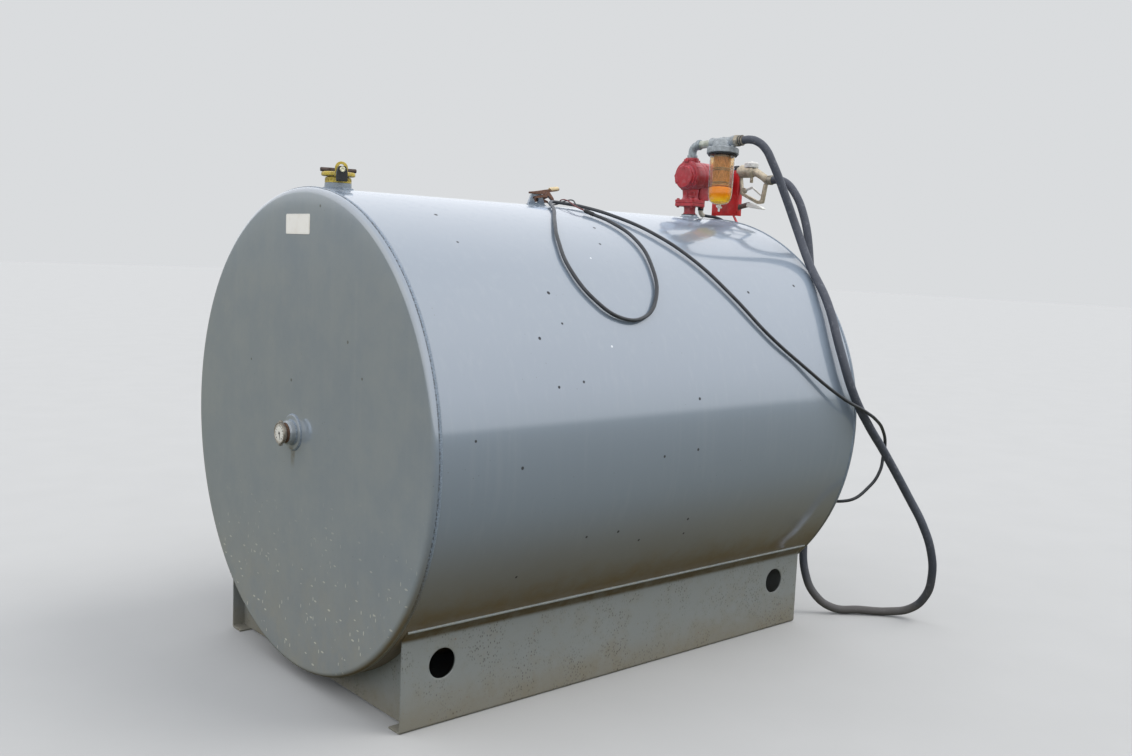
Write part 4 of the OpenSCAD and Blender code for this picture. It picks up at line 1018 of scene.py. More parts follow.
def sheet_patches(length, holes, radius, side):
    """A folded strip along X: flange, bend, web with round holes, bend and foot.

    Round each hole the web is P = (1 - t) square + t circle.
    """
    top = np.array([SHELL_R * math.cos(SKID_ANGLE), AXIS_Z - SHELL_R * math.sin(SKID_ANGLE)])
    first = top + np.array([math.cos(SKID_ANGLE), math.sin(SKID_ANGLE)]) * SKID_WALL
    knee = top - SKID_FLANGE * np.array([math.sin(SKID_ANGLE), math.cos(SKID_ANGLE)])
    web = knee[0] + SKID_WALL
    bend = np.array([web, knee[1] + SKID_WALL * (1 - math.cos(SKID_ANGLE)) / math.sin(SKID_ANGLE) - 0.6])
    profile = rounded([first, bend, [web, 0.0], [knee[0] - SKID_FOOT, 0.0]], radius, 5)
    a, n = HOLE_PATCH, 12
    above = profile[profile[:, 1] > HOLE_Z + a]
    below = profile[profile[:, 1] < HOLE_Z - a]
    mid = np.stack([np.full(n + 1, web), np.linspace(HOLE_Z + a, HOLE_Z - a, n + 1)], 1)
    breaks = [0.0, holes[0] - a, holes[0] + a, holes[1] - a, holes[1] + a, length]
    counts = [4, n, 40, n, 4]
    spans = [np.linspace(breaks[i], breaks[i + 1], counts[i] + 1) for i in range(5)]
    xs = np.concatenate([s[:-1] for s in spans] + [[length]])

    def strip(section, across):
        """The section carried along X."""
        grid = np.zeros((len(section), len(across), 3))
        grid[..., 0] = across[None]
        grid[..., 1] = -section[:, :1]
        grid[..., 2] = section[:, 1:]
        return grid[::-1]

    grids = [strip(np.concatenate([above, mid[:1]]), xs), strip(np.concatenate([mid[-1:], below]), xs)]
    grids += [strip(mid, spans[i]) for i in (0, 2, 4)]
    k = np.linspace(-a, a, n + 1)
    right = np.stack([0 * k[:-1] + a, k[:-1]], 1)
    top_side = np.stack([-k[:-1], 0 * k[:-1] + a], 1)
    square = np.concatenate([right, top_side, -right, -top_side])
    hole = unit(square) * HOLE_R
    for centre in holes:
        rings = np.array([(1 - t) * square + t * hole for t in (0, 0.35, 0.7, 1)])
        grid = np.zeros((*rings.shape[:2], 3))
        grid[..., 0], grid[..., 1], grid[..., 2] = rings[..., 0] + centre, -web, rings[..., 1] + HOLE_Z
        grids.append(grid)
    out = []
    for index, grid in enumerate(grids):
        if side > 0:
            grid = grid[::-1] * [1, -1, 1]
        out.append((grid, False, index >= 5))
    return out


class FUELTANK_OT_skids(bpy.types.Operator):
    """Folded skids with their lifting holes and the weld along the shell"""
    bl_idname = "fuel_tank.skids"
    bl_label = "Skids"
    bl_options = {"REGISTER"}

    def execute(self, context):
        length = SHELL_LEN - 2 * SKID_INSET
        place = TANK @ shift(SKID_INSET, 0, 0)
        holes = (HOLE_INSET, length - HOLE_INSET)
        for name, side, node in (("hose_side", -1, "hose_side_skid"), ("back", 1, "back_skid")):
            patches = sheet_patches(length, holes, size_of("skid_bend"), side)
            skid = piece(name + "_skid_plate", [(p, place) for p in patches], "skid paint", instead=node,
                         wall=SKID_WALL)
            softened(skid, 0.0009)
            y = side * (SHELL_R + 3) * math.cos(SKID_ANGLE)
            z = AXIS_Z - (SHELL_R + 3) * math.sin(SKID_ANGLE)
            outward = [0, side * math.cos(SKID_ANGLE - 0.5), math.sin(0.4 - SKID_ANGLE) + 0.9]
            run = bead([[0, y, z], [length, y, z]], outward, 9, 5, 6.0, 9)
            weld(name + "_skid_weld", [(run, place)])
        return {"FINISHED"}


def holed(outline, centre, radius, low, high, edge=0.6):
    """A flat plate with one round hole: outline points face hole points, ring by ring through both faces."""
    o, c = np.asarray(outline, float), np.asarray(centre, float)
    way = unit(o - c)
    h, big = c + way * radius, c + way * (radius + edge)
    small = o - way * edge
    rings = []
    for flat, z in ((o, low + edge), (o, high - edge), (small, high), (big, high), (h, high - edge),
                    (h, low + edge), (big, low), (small, low), (o, low + edge)):
        rings.append(np.column_stack([flat, np.full(len(flat), z)]))
    return np.array(rings), False, True


def along(outline, pitch=3.0):
    """An outline with points added at least once each pitch."""
    p = np.asarray(outline, float)
    q = np.roll(p, -1, 0)
    out = []
    for a, b in zip(p, q):
        n = max(1, int(np.linalg.norm(b - a) / pitch))
        out.append(a + (b - a) * np.linspace(0, 1, n, endpoint=False)[:, None])
    return np.concatenate(out)


def foot_bead(radius, width, height, seed):
    """A weld round an upright fitting on the crown: z = sqrt(R^2 - y^2) - R along the circle."""
    a = np.linspace(0, 2 * np.pi, 160)
    x, y = radius * np.cos(a), radius * np.sin(a)
    points = np.stack([x, y, np.sqrt(SHELL_R ** 2 - y ** 2) - SHELL_R], 1)
    return bead(points, np.stack([np.cos(a), np.sin(a), 0 * a + 1.0], 1), width, height, 5.0, seed)


# Small fittings

class FUELTANK_OT_label(bpy.types.Operator):
    """Blank plate on the near end"""
    bl_idname = "fuel_tank.label"
    bl_label = "Blank plate"
    bl_options = {"REGISTER"}

    def execute(self, context):
        place = TANK @ shift(-LIP - KNUCKLE, PLATE_Y * 1000, PLATE_Z * 1000) @ turn(-90, "Y")
        piece("blank_plate", [(block(-33, 33, -82.5, 82.5, -0.3, 1.0, 0.3, 6), place)], "bare plate")
        return {"FINISHED"}


class FUELTANK_OT_gauge(bpy.types.Operator):
    """Float gauge: welded flange, coupling, adapter, case, face and needle"""
    bl_idname = "fuel_tank.gauge"
    bl_label = "Gauge"
    bl_options = {"REGISTER"}

    def execute(self, context):
        piece("gauge_weld_flange", [(turned([[0, -1], [59, -1], [59, 6], [0, 6]], 96, 1.5), GAUGE)],
              "tank paint", instead="gauge_flange")
        a = np.linspace(0, 2 * np.pi, 120)
        ring = np.stack([np.cos(a), np.sin(a), 0 * a], 1)
        beads = [(bead(ring * 59 + [0, 0, 0.2], ring + [0, 0, 0.9], 9, 4, 5.0, 2), GAUGE),
                 (bead(ring * 40 + [0, 0, 6.2], ring + [0, 0, 0.9], 8, 4, 5.0, 4), GAUGE)]
        weld("gauge_welds", beads)
        coupling = [[0, 6], [39.4, 6], [40, 9], [40, 24.5], [38.6, 26], [36.5, 26.2], [36, 28], [0, 28]]
        piece("gauge_threaded_coupling", [(turned(coupling, 96, 0.8), GAUGE)], "tank paint",
              instead="gauge_coupling")
        adapter = [[0, 28], [34, 28], [34, 31], [32, 32], [31.4, 33], [32.6, 34], [31.4, 35], [32.6, 36],
                   [31.4, 37], [33, 38.5], [33, 40], [0, 40]]
        piece("gauge_screw_adapter", [(turned(adapter, 72), GAUGE)], "gauge iron", instead="gauge_adapter")
        case = [[0, 40], [35, 40], [36, 41.5], [36, 50.5], [35, 52], [33.2, 52], [32.2, 51], [32, 50],
                [0, 50]]
        parts = [(turned(case, 96), GAUGE)]
        for s in (-1, 1):
            parts.append((turned([[0, 40], [7, 40], [7, 49], [0, 49]], 32, 0.8), GAUGE @ shift(36 * s, 0, 0)))
            parts.append((turned([[0, 49], [4, 49], [4, 51], [3, 51.6], [0, 51.6]], 6),
                          GAUGE @ shift(38 * s, 0, 0)))
        piece("gauge_case", parts, "dial case", instead="gauge_dial")
        piece("gauge_face", [(turned([[0, 49.6], [31.6, 49.6], [31.6, 50.5], [0, 50.5]], 72, 0.2), GAUGE)],
              "dial face")
        half = [0.6 + 0.5 * (i % 3 == 0) for i in range(13)]
        marks = [(block(22, 28.5, -h, h, 50.4, 50.9, 0.1, 0.2), GAUGE @ turn(-132 + 22 * i, "Z"))
                 for i, h in enumerate(half)]
        needle = [[-6, -1.6], [20, -0.7], [24, 0], [20, 0.7], [-6, 1.6]]
        marks.append((plate(needle, 50.9, 51.5, 0.1), GAUGE @ turn(200, "Z")))
        marks.append((turned([[0, 50.4], [4, 50.4], [4, 51.6], [3, 52], [0, 52]], 32), GAUGE))
        piece("gauge_marks_and_needle", marks, "dark metal")
        return {"FINISHED"}


class FUELTANK_OT_fill_cap(bpy.types.Operator):
    """Fill collar, yellow two-ring cap, grip bar, hasp, padlock and bolt"""
    bl_idname = "fuel_tank.fill_cap"
    bl_label = "Fill cap"
    bl_options = {"REGISTER"}

    def execute(self, context):
        neck = [[30, -5], [44.5, -5], [44.5, 19.5], [43, 21], [33, 21], [30, 18], [30, -5]]
        piece("fill_collar_ring", [(turned(neck, 96), FILL)], "tank paint", instead="fill_collar")
        weld("fill_collar_weld", [(foot_bead(46.5, 12, 6, 6), TANK @ shift(FILL_X, 0, CROWN))])
        base = [[0, 21], [44, 21], [44, 25], [42.6, 26], [42.6, 31.5], [43.6, 32.5], [43.6, 36.5], [41.5, 39],
                [36, 39.4], [36, 43], [0, 43]]
        ribs = [(block(42.4, 44, -2.2, 2.2, 25.5, 32, 0.4, 0.6), FILL @ turn(i * 15, "Z")) for i in range(24)]
        piece("fill_cap_lower_ring", [(turned(base, 96, 0.8), FILL)] + ribs, "cap yellow",
              instead="fill_cap_base")
        lid = [[0, 43], [52, 43], [55.4, 44.4], [56, 46], [56, 53.5], [54.2, 56.2], [50, 57], [44, 56.4],
               [40, 57], [0, 57]]
        lugs = [(block(52, 56, -6, 6, 45.5, 54, 1, 2), FILL @ turn(a, "Z")) for a in (55, 125, 235, 305)]
        hinge = [(bar([[-15, 50, 50], [15, 50, 50]], 5), FILL), (block(-13, 13, 42, 54, 26, 50, 1, 2), FILL)]
        piece("fill_cap_top", [(turned(lid, 96, 1.0), FILL)] + lugs + hinge, "cap yellow",
              instead="fill_cap_lid")
        line = [[x, 0, 64] for x in (-60, -58.5, -56, 56, 58.5, 60)]
        grip = [(bar(line, [5, 6.6, 7, 7, 6.6, 5], 24), FILL),
                (turned([[0, 56.6], [9, 56.6], [9, 59], [7.6, 61], [0, 61]], 24), FILL)]
        piece("fill_cap_grip_bar", grip, "bar steel", instead="fill_cap_bar")
        a = np.linspace(0, np.pi, 15)
        outline = np.concatenate([[[-21, -3], [21, -3]], np.stack([21 * np.cos(a), 25 + 21 * np.sin(a)], 1)])
        hasp = [(holed(along(outline), (0, 29), 8.6, 0, 6, 0.8), FILL @ shift(0, -58, 43) @ TO_VIEWER),
                (block(-21, 21, 0, 9, -4, 2, 0.6, 2), FILL @ shift(0, -58, 44)),
                (plate([[-21, -3], [21, -3], [21, 10], [-21, 10]], 0, 6.4, 0.6, 2),
                 FILL @ shift(0, -52, 43) @ TO_VIEWER),
                (turned([[8.6, 0], [12, 0], [12, 7], [8.6, 7], [8.6, 0]], 32),
                 FILL @ shift(0, -58, 72) @ TO_VIEWER)]
        piece("fill_cap_lock_hasp", hasp, "cap yellow", instead="fill_cap_hasp")
        body = [[-18, -20], [18, -20], [18, 10], [12, 29], [-12, 29], [-18, 10]]
        lock = [(plate(body, 0, 18, 1.8, 4), FILL @ shift(0, -64, 44) @ TO_VIEWER),
                (turned([[0, 17], [9.5, 17], [9.5, 18.6], [8.5, 19.2], [0, 19.2]], 32),
                 FILL @ shift(0, -64, 62) @ TO_VIEWER)]
        piece("padlock_body", lock, "lock black", instead="padlock")
        knob = [[0, 0], [4.5, 0], [4.5, 30], [9, 30], [9, 35], [7.8, 36], [3, 36], [2.4, 34.6], [0, 34.6]]
        piece("padlock_core", [(turned(knob, 36, 0.5), FILL @ shift(0, -52, 62) @ TO_VIEWER)], "lock steel",
              instead="padlock_bolt")
        return {"FINISHED"}


class FUELTANK_OT_lug(bpy.types.Operator):
    """Lifting lug with its weld"""
    bl_idname = "fuel_tank.lug"
    bl_label = "Lifting lug"
    bl_options = {"REGISTER"}

    def execute(self, context):
        outline = rounded([[-43, 0], [43, 0], [25, 43], [-25, 43]], 5, 4, closed=True)
        place = TANK @ shift(LUG_X, 0, CROWN)
        piece("lifting_lug_plate", [(holed(along(outline), (0, 23), 13, -5, 5, 0.8), place @ TO_VIEWER)],
              "tank paint", instead="lifting_lug")
        runs = [(bead([[-44, s * 5.5, 0], [44, s * 5.5, 0]], [0, s, 1], 7, 4.5, 5.0, 7), place)
                for s in (-1, 1)]
        weld("lifting_lug_weld", runs)
        return {"FINISHED"}


# Pump group

class FUELTANK_OT_pump(bpy.types.Operator):
    """Bung, inlet with its flanges, casing with cover and outlet boss"""
    bl_idname = "fuel_tank.pump"
    bl_label = "Pump"
    bl_options = {"REGISTER"}

    def execute(self, context):
        bolt = size_of("bolt")
        bung = [[18, -5], [36, -5], [36, 9], [34.6, 11], [20, 11], [18, 9.5], [18, -5]]
        piece("pump_weld_bung", [(turned(bung, 72), PUMP)], "tank paint", instead="pump_bung")
        weld("pump_bung_weld", [(foot_bead(38, 10, 5, 8), TANK @ shift(PUMP_X, 0, CROWN))])
        square = rounded([[-50, -50], [50, -50], [50, 50], [-50, 50]], 17, 6, closed=True)
        neck = [[18, 11], [27, 11], [27, 20], [24.5, 22], [24.5, 40], [27, 48], [18, 48], [18, 11]]
        corner = [turn(90 * i + 45, "Z") @ shift(52, 0, 0) for i in range(4)]
        inlet = [(turned(neck, 48, 1), PUMP), (plate(square, 48, 61.6, 1.2), PUMP)]
        inlet += [(hex_head(bolt, 6), PUMP @ c @ shift(0, 0, 48) @ turn(180, "X")) for c in corner]
        seal = [[27, 10.6], [33.6, 10.6], [34, 11.4], [34, 13.6], [33, 14.4], [27, 14.4], [27, 10.6]]
        piece("pump_bung_seal", [(turned(seal, 64), PUMP)], "gasket black")
        piece("pump_inlet_flange", inlet, "pump red", instead="pump_inlet")
        case = [[0, -38], [58, -38], [61, -36.5], [61, -31], [64, -29], [64, 15], [62, 18], [62, 22], [0, 22]]
        across = PUMP @ shift(0, 0, CASING_Z) @ ALONG_X
        parts = [(plate(square, 62.4, 76, 1.2), PUMP),
                 (turned([[0, 74], [40, 76], [34, 84], [33, 96], [36, 122], [0, 122]], 48, 3), PUMP),
                 (turned(case, 96, 1.2), across),
                 (turned([[0, 200], [29, 226], [29, 252], [27.6, 255], [0, 255]], 48, 1), PUMP)]
        parts += [(hex_head(bolt, 6), PUMP @ c @ shift(0, 0, 76)) for c in corner]
        window = PUMP @ turn(-143, "Z") @ shift(31, 0, 101) @ ALONG_X
        parts += [(block(-13, 13, s * 16 - 3, s * 16 + 3, -2, 5.5, 1, 2), window) for s in (-1, 1)]
        parts += [(block(s * 11 - 3, s * 11 + 3, -16, 16, -2, 5.5, 1, 2), window) for s in (-1, 1)]
        for s in (-1, 1):
            ear = rounded([[-16, -9], [20, -13], [20, 13], [-16, 9]], 7, 4, closed=True)
            parts.append((plate(ear, 236, 248, 1.2),
                          PUMP @ shift(s * 26, 0, 0) @ turn(0 if s > 0 else 180, "Z")))
            parts.append((hex_head(bolt, 5), PUMP @ shift(s * 38, 0, 248)))
        boss = turned([[0, -37], [7.5, -37], [8, -34], [8, 18], [6, 21], [0, 21]], 20)
        parts += [(boss, across @ turn(angle, "Z") @ shift(57, 0, 0)) for angle in (18, 90, 162, 234, 306)]
        piece("pump_casing_body", parts, "pump red", instead="pump_casing")
        front = PUMP @ shift(-38, 0, COVER_Z) @ turn(-90, "Y")
        face = [[0, 0], [52, 0], [52, 7], [50.4, 9.4], [47.5, 10], [46.5, 18], [44.5, 21.4], [42.4, 22],
                [41.6, 21.2], [40.6, 21.2], [39.8, 22], [0, 22.4]]
        cover = [(turned(face, 96, 0.8), front)]
        cover += [(hex_head(bolt * 0.8, 4.5), front @ turn(a, "Z") @ shift(48.2, 0, 9.4))
                  for a in (0, 120, 240)]
        cover += [(block(-7, 7, 31, 45.5, 20, 24, 1, 2), front @ turn(a, "Z")) for a in (30, 150, 270)]
        piece("pump_front_cover", cover, "pump red", instead="pump_cover")
        return {"FINISHED"}


class FUELTANK_OT_motor(bpy.types.Operator):
    """Motor, junction box, gland and conduit elbow"""
    bl_idname = "fuel_tank.motor"
    bl_label = "Motor"
    bl_options = {"REGISTER"}

    def execute(self, context):
        axis = PUMP @ shift(22, 0, MOTOR_Z) @ ALONG_X
        body = [[0, 0.5], [56, 0.5], [59, 3], [59, 26], [57.6, 27], [57.6, 30], [59, 31], [59, 166],
                [57.6, 167], [57.6, 170], [59, 171], [59, 193], [56, 198], [49, 200], [48, 205], [46, 217],
                [38, 220], [12, 220], [0, 220]]
        parts = [(turned(body, 96, 0.8), axis)]
        parts += [(hex_head(4.6, 4), axis @ turn(a, "Z") @ shift(42, 0, 216)) for a in (45, 135, 225, 315)]
        parts += [(bar([[57.5, 0, 28], [57.5, 0, 168]], 3.0, 12), axis @ turn(a, "Z"))
                  for a in (45, 135, 225, 315)]
        piece("pump_motor_body", parts, "pump red", instead="pump_motor")
        box = [(block(36, 98, -30, 30, 78, 140, 2, 5), PUMP),
               (block(33.5, 36.5, -27, 27, 82, 118, 0.8, 4), PUMP)]
        box += [(hex_head(3.6, 2.5), PUMP @ shift(33.6, y, z) @ turn(-90, "Y"))
                for y in (-21, 21) for z in (88, 112)]
        piece("motor_junction_box", box, "pump red", instead="junction_box")
        gland = [[0, 35.5], [11.5, 35.5], [13, 37], [13, 46], [14, 48], [14, 60], [12.5, 62], [14, 64],
                 [14, 78], [0, 78]]
        band = [[0, 47], [13.3, 47], [13.3, 61], [0, 61]]
        under = PUMP @ shift(80, 0, 0)
        piece("cable_gland_nut", [(turned(gland, 10), under), (turned(band, 40, 1), under)], "rubber black",
              instead="cable_gland")
        a = np.linspace(0, np.pi / 2, 14)
        path = np.stack([100 - 20 * np.cos(a), 0 * a, 35.5 - 20 * np.sin(a)], 1)
        corrugation = 10.5 - 0.7 * (np.arange(14) % 2)
        piece("conduit_bend", [(bar(path, corrugation, 28), PUMP)], "conduit", instead="conduit_elbow")
        return {"FINISHED"}


class FUELTANK_OT_outlet(bpy.types.Operator):
    """Galvanised elbow, nipple and the hose coupling"""
    bl_idname = "fuel_tank.outlet"
    bl_label = "Outlet pipe"
    bl_options = {"REGISTER"}

    def execute(self, context):
        a = np.linspace(0, math.radians(87), 16)
        bend = np.stack([0 * a, ELBOW_Y * (np.cos(a) - 1), OUTLET_Z + ELBOW_Y * (np.sin(a) - 1)], 1)
        up = [[0, 0, 255], [0, 0, 262], [0, 0, 263], [0, 0, 272], [0, 0, 277]]
        radii = [20.5] * 2 + [17.8] * 19
        upper = [[0, -2], [21.4, -2], [22, -0.6], [22, 8.6], [21.4, 10], [20, 10.4], [20, 12.5], [0, 12.5]]
        lower = [[0, 255], [21.4, 255], [22, 256.4], [22, 266], [21.4, 267.4], [0, 267.4]]
        elbow = [(bar([*up, *bend], radii, 40), PUMP),
                 (turned(upper, 40), OUTLET @ shift(0, -ELBOW_Y, 0) @ TO_VIEWER),
                 (turned(lower, 40), PUMP)]
        piece("outlet_pipe_elbow", elbow, "galvanised", instead="outlet_elbow")
        thread = np.stack([16.7 - 0.8 * (np.arange(18) % 2), np.linspace(12, 24, 18)], 1)
        pipe = [[0, 10], *thread.tolist(), [16.6, 26], [16.6, 68], [0, 68]]
        piece("outlet_pipe_nipple", [(turned(pipe, 40), OUTLET @ shift(0, -ELBOW_Y, 0) @ TO_VIEWER)],
              "pipe zinc", instead="outlet_nipple")
        end = OUTLET @ shift(0, -COUPLING_Y, 0) @ TO_VIEWER
        brass = [[0, 0], [22, 0], [23.5, 1.5], [23.5, 15], [22, 16.5], [20, 17], [20, 19], [0, 19]]
        nut = [[0, 0.4], [25.6, 0.4], [26, 2.4], [26, 13.6], [25.6, 15.6], [0, 15.6]]
        parts = [(turned(nut, 6), end), (turned(brass, 48), end)]
        ferrule = [[0, 17], [20, 17], [20.8, 18.5], [20.8, 22], [19.6, 23], [20.8, 24], [20.8, 28],
                   [19.6, 29], [20.8, 30], [20.8, 37], [19, 40], [0, 40]]
        parts.append((turned(ferrule, 48), end))
        piece("hose_end_coupling", parts, "coupling brass", instead="hose_coupling")
        bands = [(turned([[20.6, a], [22.2, a + 0.6], [22.2, a + 3.4], [20.6, a + 4]], 48), end)
                 for a in (21, 31)]
        piece("hose_coupling_bands", bands, "rubber black")
        return {"FINISHED"}


class FUELTANK_OT_filter(bpy.types.Operator):
    """Filter head, gasket, clear bowl, element, fuel and drain"""
    bl_idname = "fuel_tank.filter"
    bl_label = "Filter"
    bl_options = {"REGISTER"}

    def execute(self, context):
        rim = [[0, -51], [66, -51], [67.5, -49], [67.5, -29], [65.5, -26.6], [60, -26], [57, -25], [47, -22],
               [46, -16], [44, -6], [36, 8], [24, 16], [0, 20]]
        port = [[0, -62], [22.5, -62], [24, -60], [24, -48], [21.5, -46], [20.5, -30], [20.5, 30], [21.5, 46],
                [24, 48], [24, 60], [22.5, 62], [0, 62]]
        parts = [(turned(rim, 96, 1.2), FILTER), (turned(port, 48, 0.8), FILTER @ TO_VIEWER)]
        parts += [(turned([[0, -50], [8, -50], [8, -25.4], [0, -25.4]], 24, 1), FILTER @ p)
                  for p in ring_of(6, 59, 15)]
        parts += [(hex_head(6, 5), FILTER @ p @ shift(0, 0, -25.6)) for p in ring_of(6, 59, 15)]
        parts += [(turned([[0, 14], [8, 14], [8, 21.6], [6.5, 22], [0, 22]], 6), FILTER)]
        piece("filter_head_casting", parts, "filter grey", instead="filter_head")
        teeth = [(block(57, 61, -4.2, 4.2, -58, -51.4, 0.6, 1), FILTER @ turn(i * 15, "Z"))
                 for i in range(24)]
        gasket = [[38.3, -58], [58.5, -58], [58.5, -51], [38.3, -51], [38.3, -58]]
        piece("filter_toothed_gasket", [(turned(gasket, 72, 0.4), FILTER)] + teeth, "gasket black",
              instead="filter_gasket")
        d, r, wall, turn_in = BOWL_LEN, BOWL_R, 3.0, -230.0
        floor = BOWL_TOP - d
        outer = [[r, BOWL_TOP], [r, BOWL_TOP - 4], [r - 2, BOWL_TOP - d * 0.8], [r - 5, BOWL_TOP - d * 0.88],
                 [r * 0.78, BOWL_TOP - d * 0.94], [r * 0.52, BOWL_TOP - d * 0.985], [r * 0.3, floor]]
        inner = [[reach - wall, z + (wall if z < turn_in else 0)] for reach, z in outer]
        bowl = rounded([*outer, [0.0, floor]], 9, 5)
        bowl_in = rounded([*inner, [0.0, floor + wall]], 8, 5)
        piece("filter_clear_bowl", [(turned(np.concatenate([bowl[::-1], bowl_in]), 96), FILTER)],
              "amber bowl", instead="filter_bowl")
        n = 96
        a = np.linspace(0, 2 * np.pi, n, endpoint=False)
        pleat = 35.4 + 1.6 * (np.arange(n) % 2)
        z = np.linspace(-181, -58.5, 8)
        flat = 0 * z[:, None]
        sleeve = np.stack([pleat * np.cos(a) + flat, pleat * np.sin(a) + flat, z[:, None] + 0 * a], -1)
        cap = [(turned([[0, -189], [36, -189], [38, -187], [38, -180], [0, -180]], 64, 0.6), FILTER),
               ((sleeve, True, True), FILTER)]
        piece("filter_paper_element", cap, "element", instead="filter_element")
        bands = [(turned([[37.4, h], [38.4, h + 1], [38.4, h + 4], [37.4, h + 5], [37.4, h]], 64), FILTER)
                 for h in (-185, -176, -124, -116, -66)]
        piece("filter_element_bands", bands, "coupling brass")
        low = floor + wall
        body = [[0, low + 0.6], [22, low + 2.6], [35.5, low + 10], [44, low + 23], [47.4, low + 40],
                [47.6, low + 66], [0, low + 66]]
        piece("fuel_in_bowl", [(turned(body, 72, 3), FILTER)], "fuel")
        foot = FILTER @ shift(0, 0, floor)
        wings = rounded([[-18, -3], [-8, -3], [-5, -5], [5, -5], [8, -3], [18, -3], [18, 3], [8, 3], [5, 5],
                         [-5, 5], [-8, 3], [-18, 3]], 1.2, 2, closed=True)
        tap = [(turned([[0, -16], [7, -16], [8, -14.5], [8, -1], [7, 0.6], [0, 0.6]], 8), foot),
               (plate(wings, -14, -6, 0.8), foot),
               (turned([[0, -30], [3.6, -30], [4.5, -29], [4.5, -16], [0, -16]], 24), foot)]
        piece("filter_drain_tap", tap, "drain white", instead="filter_drain")
        return {"FINISHED"}


class FUELTANK_OT_holder(bpy.types.Operator):
    """Folded nozzle holder, its bolts and the switch lever"""
    bl_idname = "fuel_tank.holder"
    bl_label = "Nozzle holder"
    bl_options = {"REGISTER"}

    def execute(self, context):
        fold = rounded([[35, -79], [0.6, -79], [0.6, 61], [35, 61]], 7, 5)
        rows = np.linspace(22, 222, 9)
        grid = np.stack([np.broadcast_to(fold[:, 0], (9, len(fold))),
                         np.broadcast_to(fold[:, 1], (9, len(fold))),
                         np.broadcast_to(rows[:, None], (9, len(fold)))], -1)
        boot = piece("nozzle_holder_boot", [((grid[::-1], False, False), PUMP @ shift(241.8, 0, 0))],
                     "holder red", instead="nozzle_holder", wall=2.8)
        softened(boot, 0.0006)
        heads = [(hex_head(5.5, 4.5), PUMP @ shift(244.8, y, z) @ ALONG_X)
                 for y in (-50, 30) for z in (60, 120)]
        piece("holder_bolts", heads, "lock steel")
        hub = [[0, 0], [14, 0], [14, 6], [12.5, 8], [0, 8]]
        lever = [(turned(hub, 36, 0.6), NOZZLE @ shift(61, 58, 0) @ ALONG_X),
                 (bar([[65, 58, 0], [128, 73, 0], [134, 74.5, 0]], [11, 11, 9], 24), NOZZLE),
                 (bar([[66, 58.2, 0], [84, 62.6, 0]], 12, 24), NOZZLE)]
        blade = [[122, 64], [128, 80], [150, 79], [208, 58], [208, 50], [146, 58]]
        piece("switch_lever_paddle", [(plate(blade, -14, 14, 1.6, 4), NOZZLE)], "paddle white")
        piece("pump_switch_lever", lever, "lever steel", instead="switch_lever")
        return {"FINISHED"}


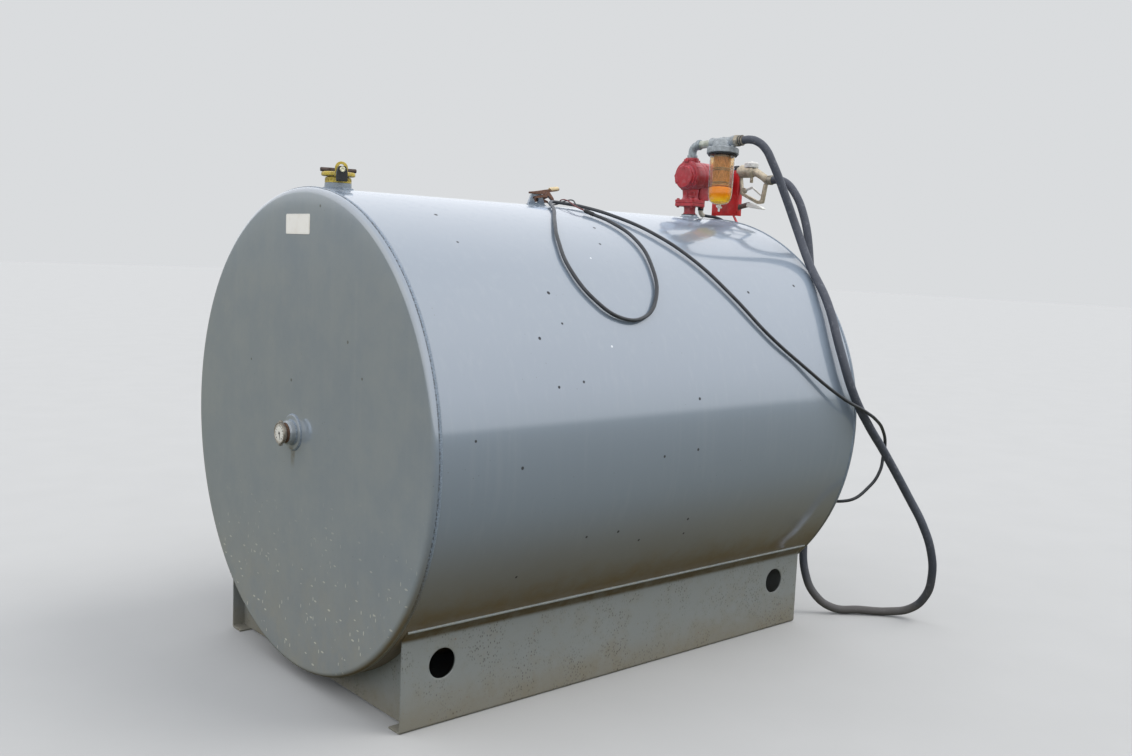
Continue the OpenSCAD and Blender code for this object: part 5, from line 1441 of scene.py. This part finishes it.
class FUELTANK_OT_nozzle(bpy.types.Operator):
    """Nozzle: spout, body, cap, guard, swivel and trigger"""
    bl_idname = "fuel_tank.nozzle"
    bl_label = "Nozzle"
    bl_options = {"REGISTER"}

    def execute(self, context):
        spout_z, body_z = 233.3, 218.8
        pin = NOZZLE @ shift(104, 134, 0)
        a = np.linspace(np.pi / 2, np.pi, 12)
        bend = np.stack([25 + 26 * np.cos(a), spout_z - 26 + 26 * np.sin(a), 0 * a], 1)
        pipe = [[65, spout_z, 0], [45, spout_z, 0], *bend, [-1, spout_z - 60, 0], [-1, spout_z - 104, 0],
                [-1, spout_z - 106, 0]]
        radii = [11, 10.4] + [10.2] * 12 + [10.2, 10.2, 9.4]
        root = [[0, 0], [11, 0], [11, 14], [10.4, 16], [0, 16]]
        spout = [(bar(pipe, radii, 32), NOZZLE), (turned(root, 32), NOZZLE @ shift(48, spout_z, 0) @ ALONG_X)]
        piece("nozzle_spout_pipe", spout, "rubber black", instead="nozzle_spout")
        body = [[0, 0], [18, 0], [20, 2], [20, 9], [26, 13], [28.6, 20], [29, 40], [29, 68], [27, 78],
                [20, 84], [0, 84]]
        grip = [[145, body_z, 0], [160, 212, 0], [178, 203, 0], [196, 192.5, 0], [208, 184.5, 0],
                [214, 180.5, 0], [221.8, SWIVEL_Z, 0]]
        stem = [[0, 168], [7, 168], [7, 196], [0, 196]]
        collar = [[0, 0], [21, 0], [22, 1.2], [22, 5], [21, 6.2], [0, 6.2]]
        parts = [(turned(body, 56, 1.5), NOZZLE @ shift(65, body_z, 0) @ ALONG_X),
                 (bar(grip, [18, 17.6, 16.6, 16.4, 17, 17.8, 18], 32), NOZZLE),
                 (turned(stem, 28, 0.8), NOZZLE @ shift(136, 0, 0) @ turn(-90, "X")),
                 (turned(collar, 48), NOZZLE @ shift(78, body_z, 0) @ ALONG_X)]
        piece("nozzle_body_casting", parts, "nozzle alloy", instead="nozzle_body")
        top = [[0, 14], [29.6, 14], [31, 16], [31, 33], [29, 36], [22, 38.2], [9, 39.8], [8, 42], [4, 43.2],
               [0, 43.2]]
        above = NOZZLE @ shift(131, body_z, 0) @ turn(-90, "X")
        cap = [(turned(top, 56, 1), above)]
        cap += [(block(29.6, 31, -3, 3, 17, 32, 0.5, 0.8), above @ turn(30 * i, "Z")) for i in range(12)]
        piece("nozzle_cap_nut", cap, "cap alloy", instead="nozzle_cap")
        outline = rounded([[72, 200], [87, 115], [177, 74], [206, 78], [220, 164], [203.5, 164], [191, 93],
                           [180, 88], [98, 124], [84, 200]], 7, 4, closed=True)
        guard = [(plate(outline, -8, 8, 2.4), NOZZLE)]
        ear = [[84, 118], [112, 125], [112, 142], [84, 150]]
        guard += [(plate(ear, s * 5.5 - 1.5, s * 5.5 + 1.5, 0.6, 4), NOZZLE) for s in (-1, 1)]
        guard += [(turned([[0, -8.4], [3.4, -8.4], [3.4, 8.4], [0, 8.4]], 20, 0.6), pin)]
        piece("nozzle_guard_strap", guard, "nozzle alloy", instead="nozzle_guard")
        swivel = [[0, 0.3], [19, 0.3], [20.4, 2], [20.4, 9], [19, 10.5], [20, 12], [21, 13.5], [21, 21.5],
                  [19.6, 24], [0, 24]]
        piece("nozzle_hose_swivel", [(turned(swivel, 48, 0.6), NOZZLE @ shift(222, SWIVEL_Z, 0) @ ALONG_X)],
              "coupling brass", instead="nozzle_swivel")
        lever = [[102.6, 138.3], [142.6, 151.6], [191.2, 116.3], [192.2, 113.5], [190.1, 110.6], [187, 110.7],
                 [143.4, 142.4], [105.4, 129.7]]
        parts = [(plate(lever, -3.5, 3.5, 0.8, 2), NOZZLE),
                 (turned([[3.1, -3.5], [7, -3.5], [7, 3.5], [3.1, 3.5], [3.1, -3.5]], 28), pin)]
        piece("nozzle_trigger_blade", parts, "trigger steel", body="trigger", instead="nozzle_trigger")
        return {"FINISHED"}


class FUELTANK_OT_dress(bpy.types.Operator):
    """Finishes for the solids that are kept as they are"""
    bl_idname = "fuel_tank.dress"
    bl_label = "Kept solids"
    bl_options = {"REGISTER"}

    def execute(self, context):
        dress(["near_saddle", "far_saddle"], "skid paint")
        dress(["holder_leg"], "holder red")
        return {"FINISHED"}


STEPS = (FUELTANK_OT_stage, FUELTANK_OT_hose, FUELTANK_OT_cable, FUELTANK_OT_shell, FUELTANK_OT_skids,
         FUELTANK_OT_label, FUELTANK_OT_gauge, FUELTANK_OT_fill_cap, FUELTANK_OT_lug, FUELTANK_OT_pump,
         FUELTANK_OT_motor, FUELTANK_OT_outlet, FUELTANK_OT_filter, FUELTANK_OT_holder, FUELTANK_OT_nozzle,
         FUELTANK_OT_dress)


class FUELTANK_PT_panel(bpy.types.Panel):
    """Sidebar panel that lists the settings and the steps"""
    bl_label = "Fuel Tank"
    bl_idname = "FUELTANK_PT_panel"
    bl_space_type = "VIEW_3D"
    bl_region_type = "UI"
    bl_category = "Fuel Tank"

    def draw(self, context):
        scene = context.scene
        for group in (scene.fuel_tank_colours, scene.fuel_tank_sizes, scene.fuel_tank_stage):
            column = self.layout.column(align=True)
            for key in group.bl_rna.properties.keys():
                if key not in {"rna_type", "name"}:
                    column.prop(group, key)
        for step in STEPS:
            self.layout.operator(step.bl_idname)


GROUPS = (FuelTankColours, FuelTankSizes, FuelTankStage)


def register():
    """Registers the classes and hangs the settings on the scene."""
    for cls in (*GROUPS, *STEPS, FUELTANK_PT_panel):
        bpy.utils.register_class(cls)
    bpy.types.Scene.fuel_tank_colours = bpy.props.PointerProperty(type=FuelTankColours)
    bpy.types.Scene.fuel_tank_sizes = bpy.props.PointerProperty(type=FuelTankSizes)
    bpy.types.Scene.fuel_tank_stage = bpy.props.PointerProperty(type=FuelTankStage)


def unregister():
    """Takes the settings and the classes away again."""
    del bpy.types.Scene.fuel_tank_colours, bpy.types.Scene.fuel_tank_sizes, bpy.types.Scene.fuel_tank_stage
    for cls in reversed((*GROUPS, *STEPS, FUELTANK_PT_panel)):
        bpy.utils.unregister_class(cls)


def main():
    """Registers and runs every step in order."""
    register()
    bpy.context.scene.view_settings.view_transform = "Standard"
    for step in STEPS:
        group, name = step.bl_idname.split(".")
        if getattr(getattr(bpy.ops, group), name)() != {"FINISHED"}:
            raise RuntimeError(step.bl_label + " did not finish")


if __name__ == "__main__":
    main()
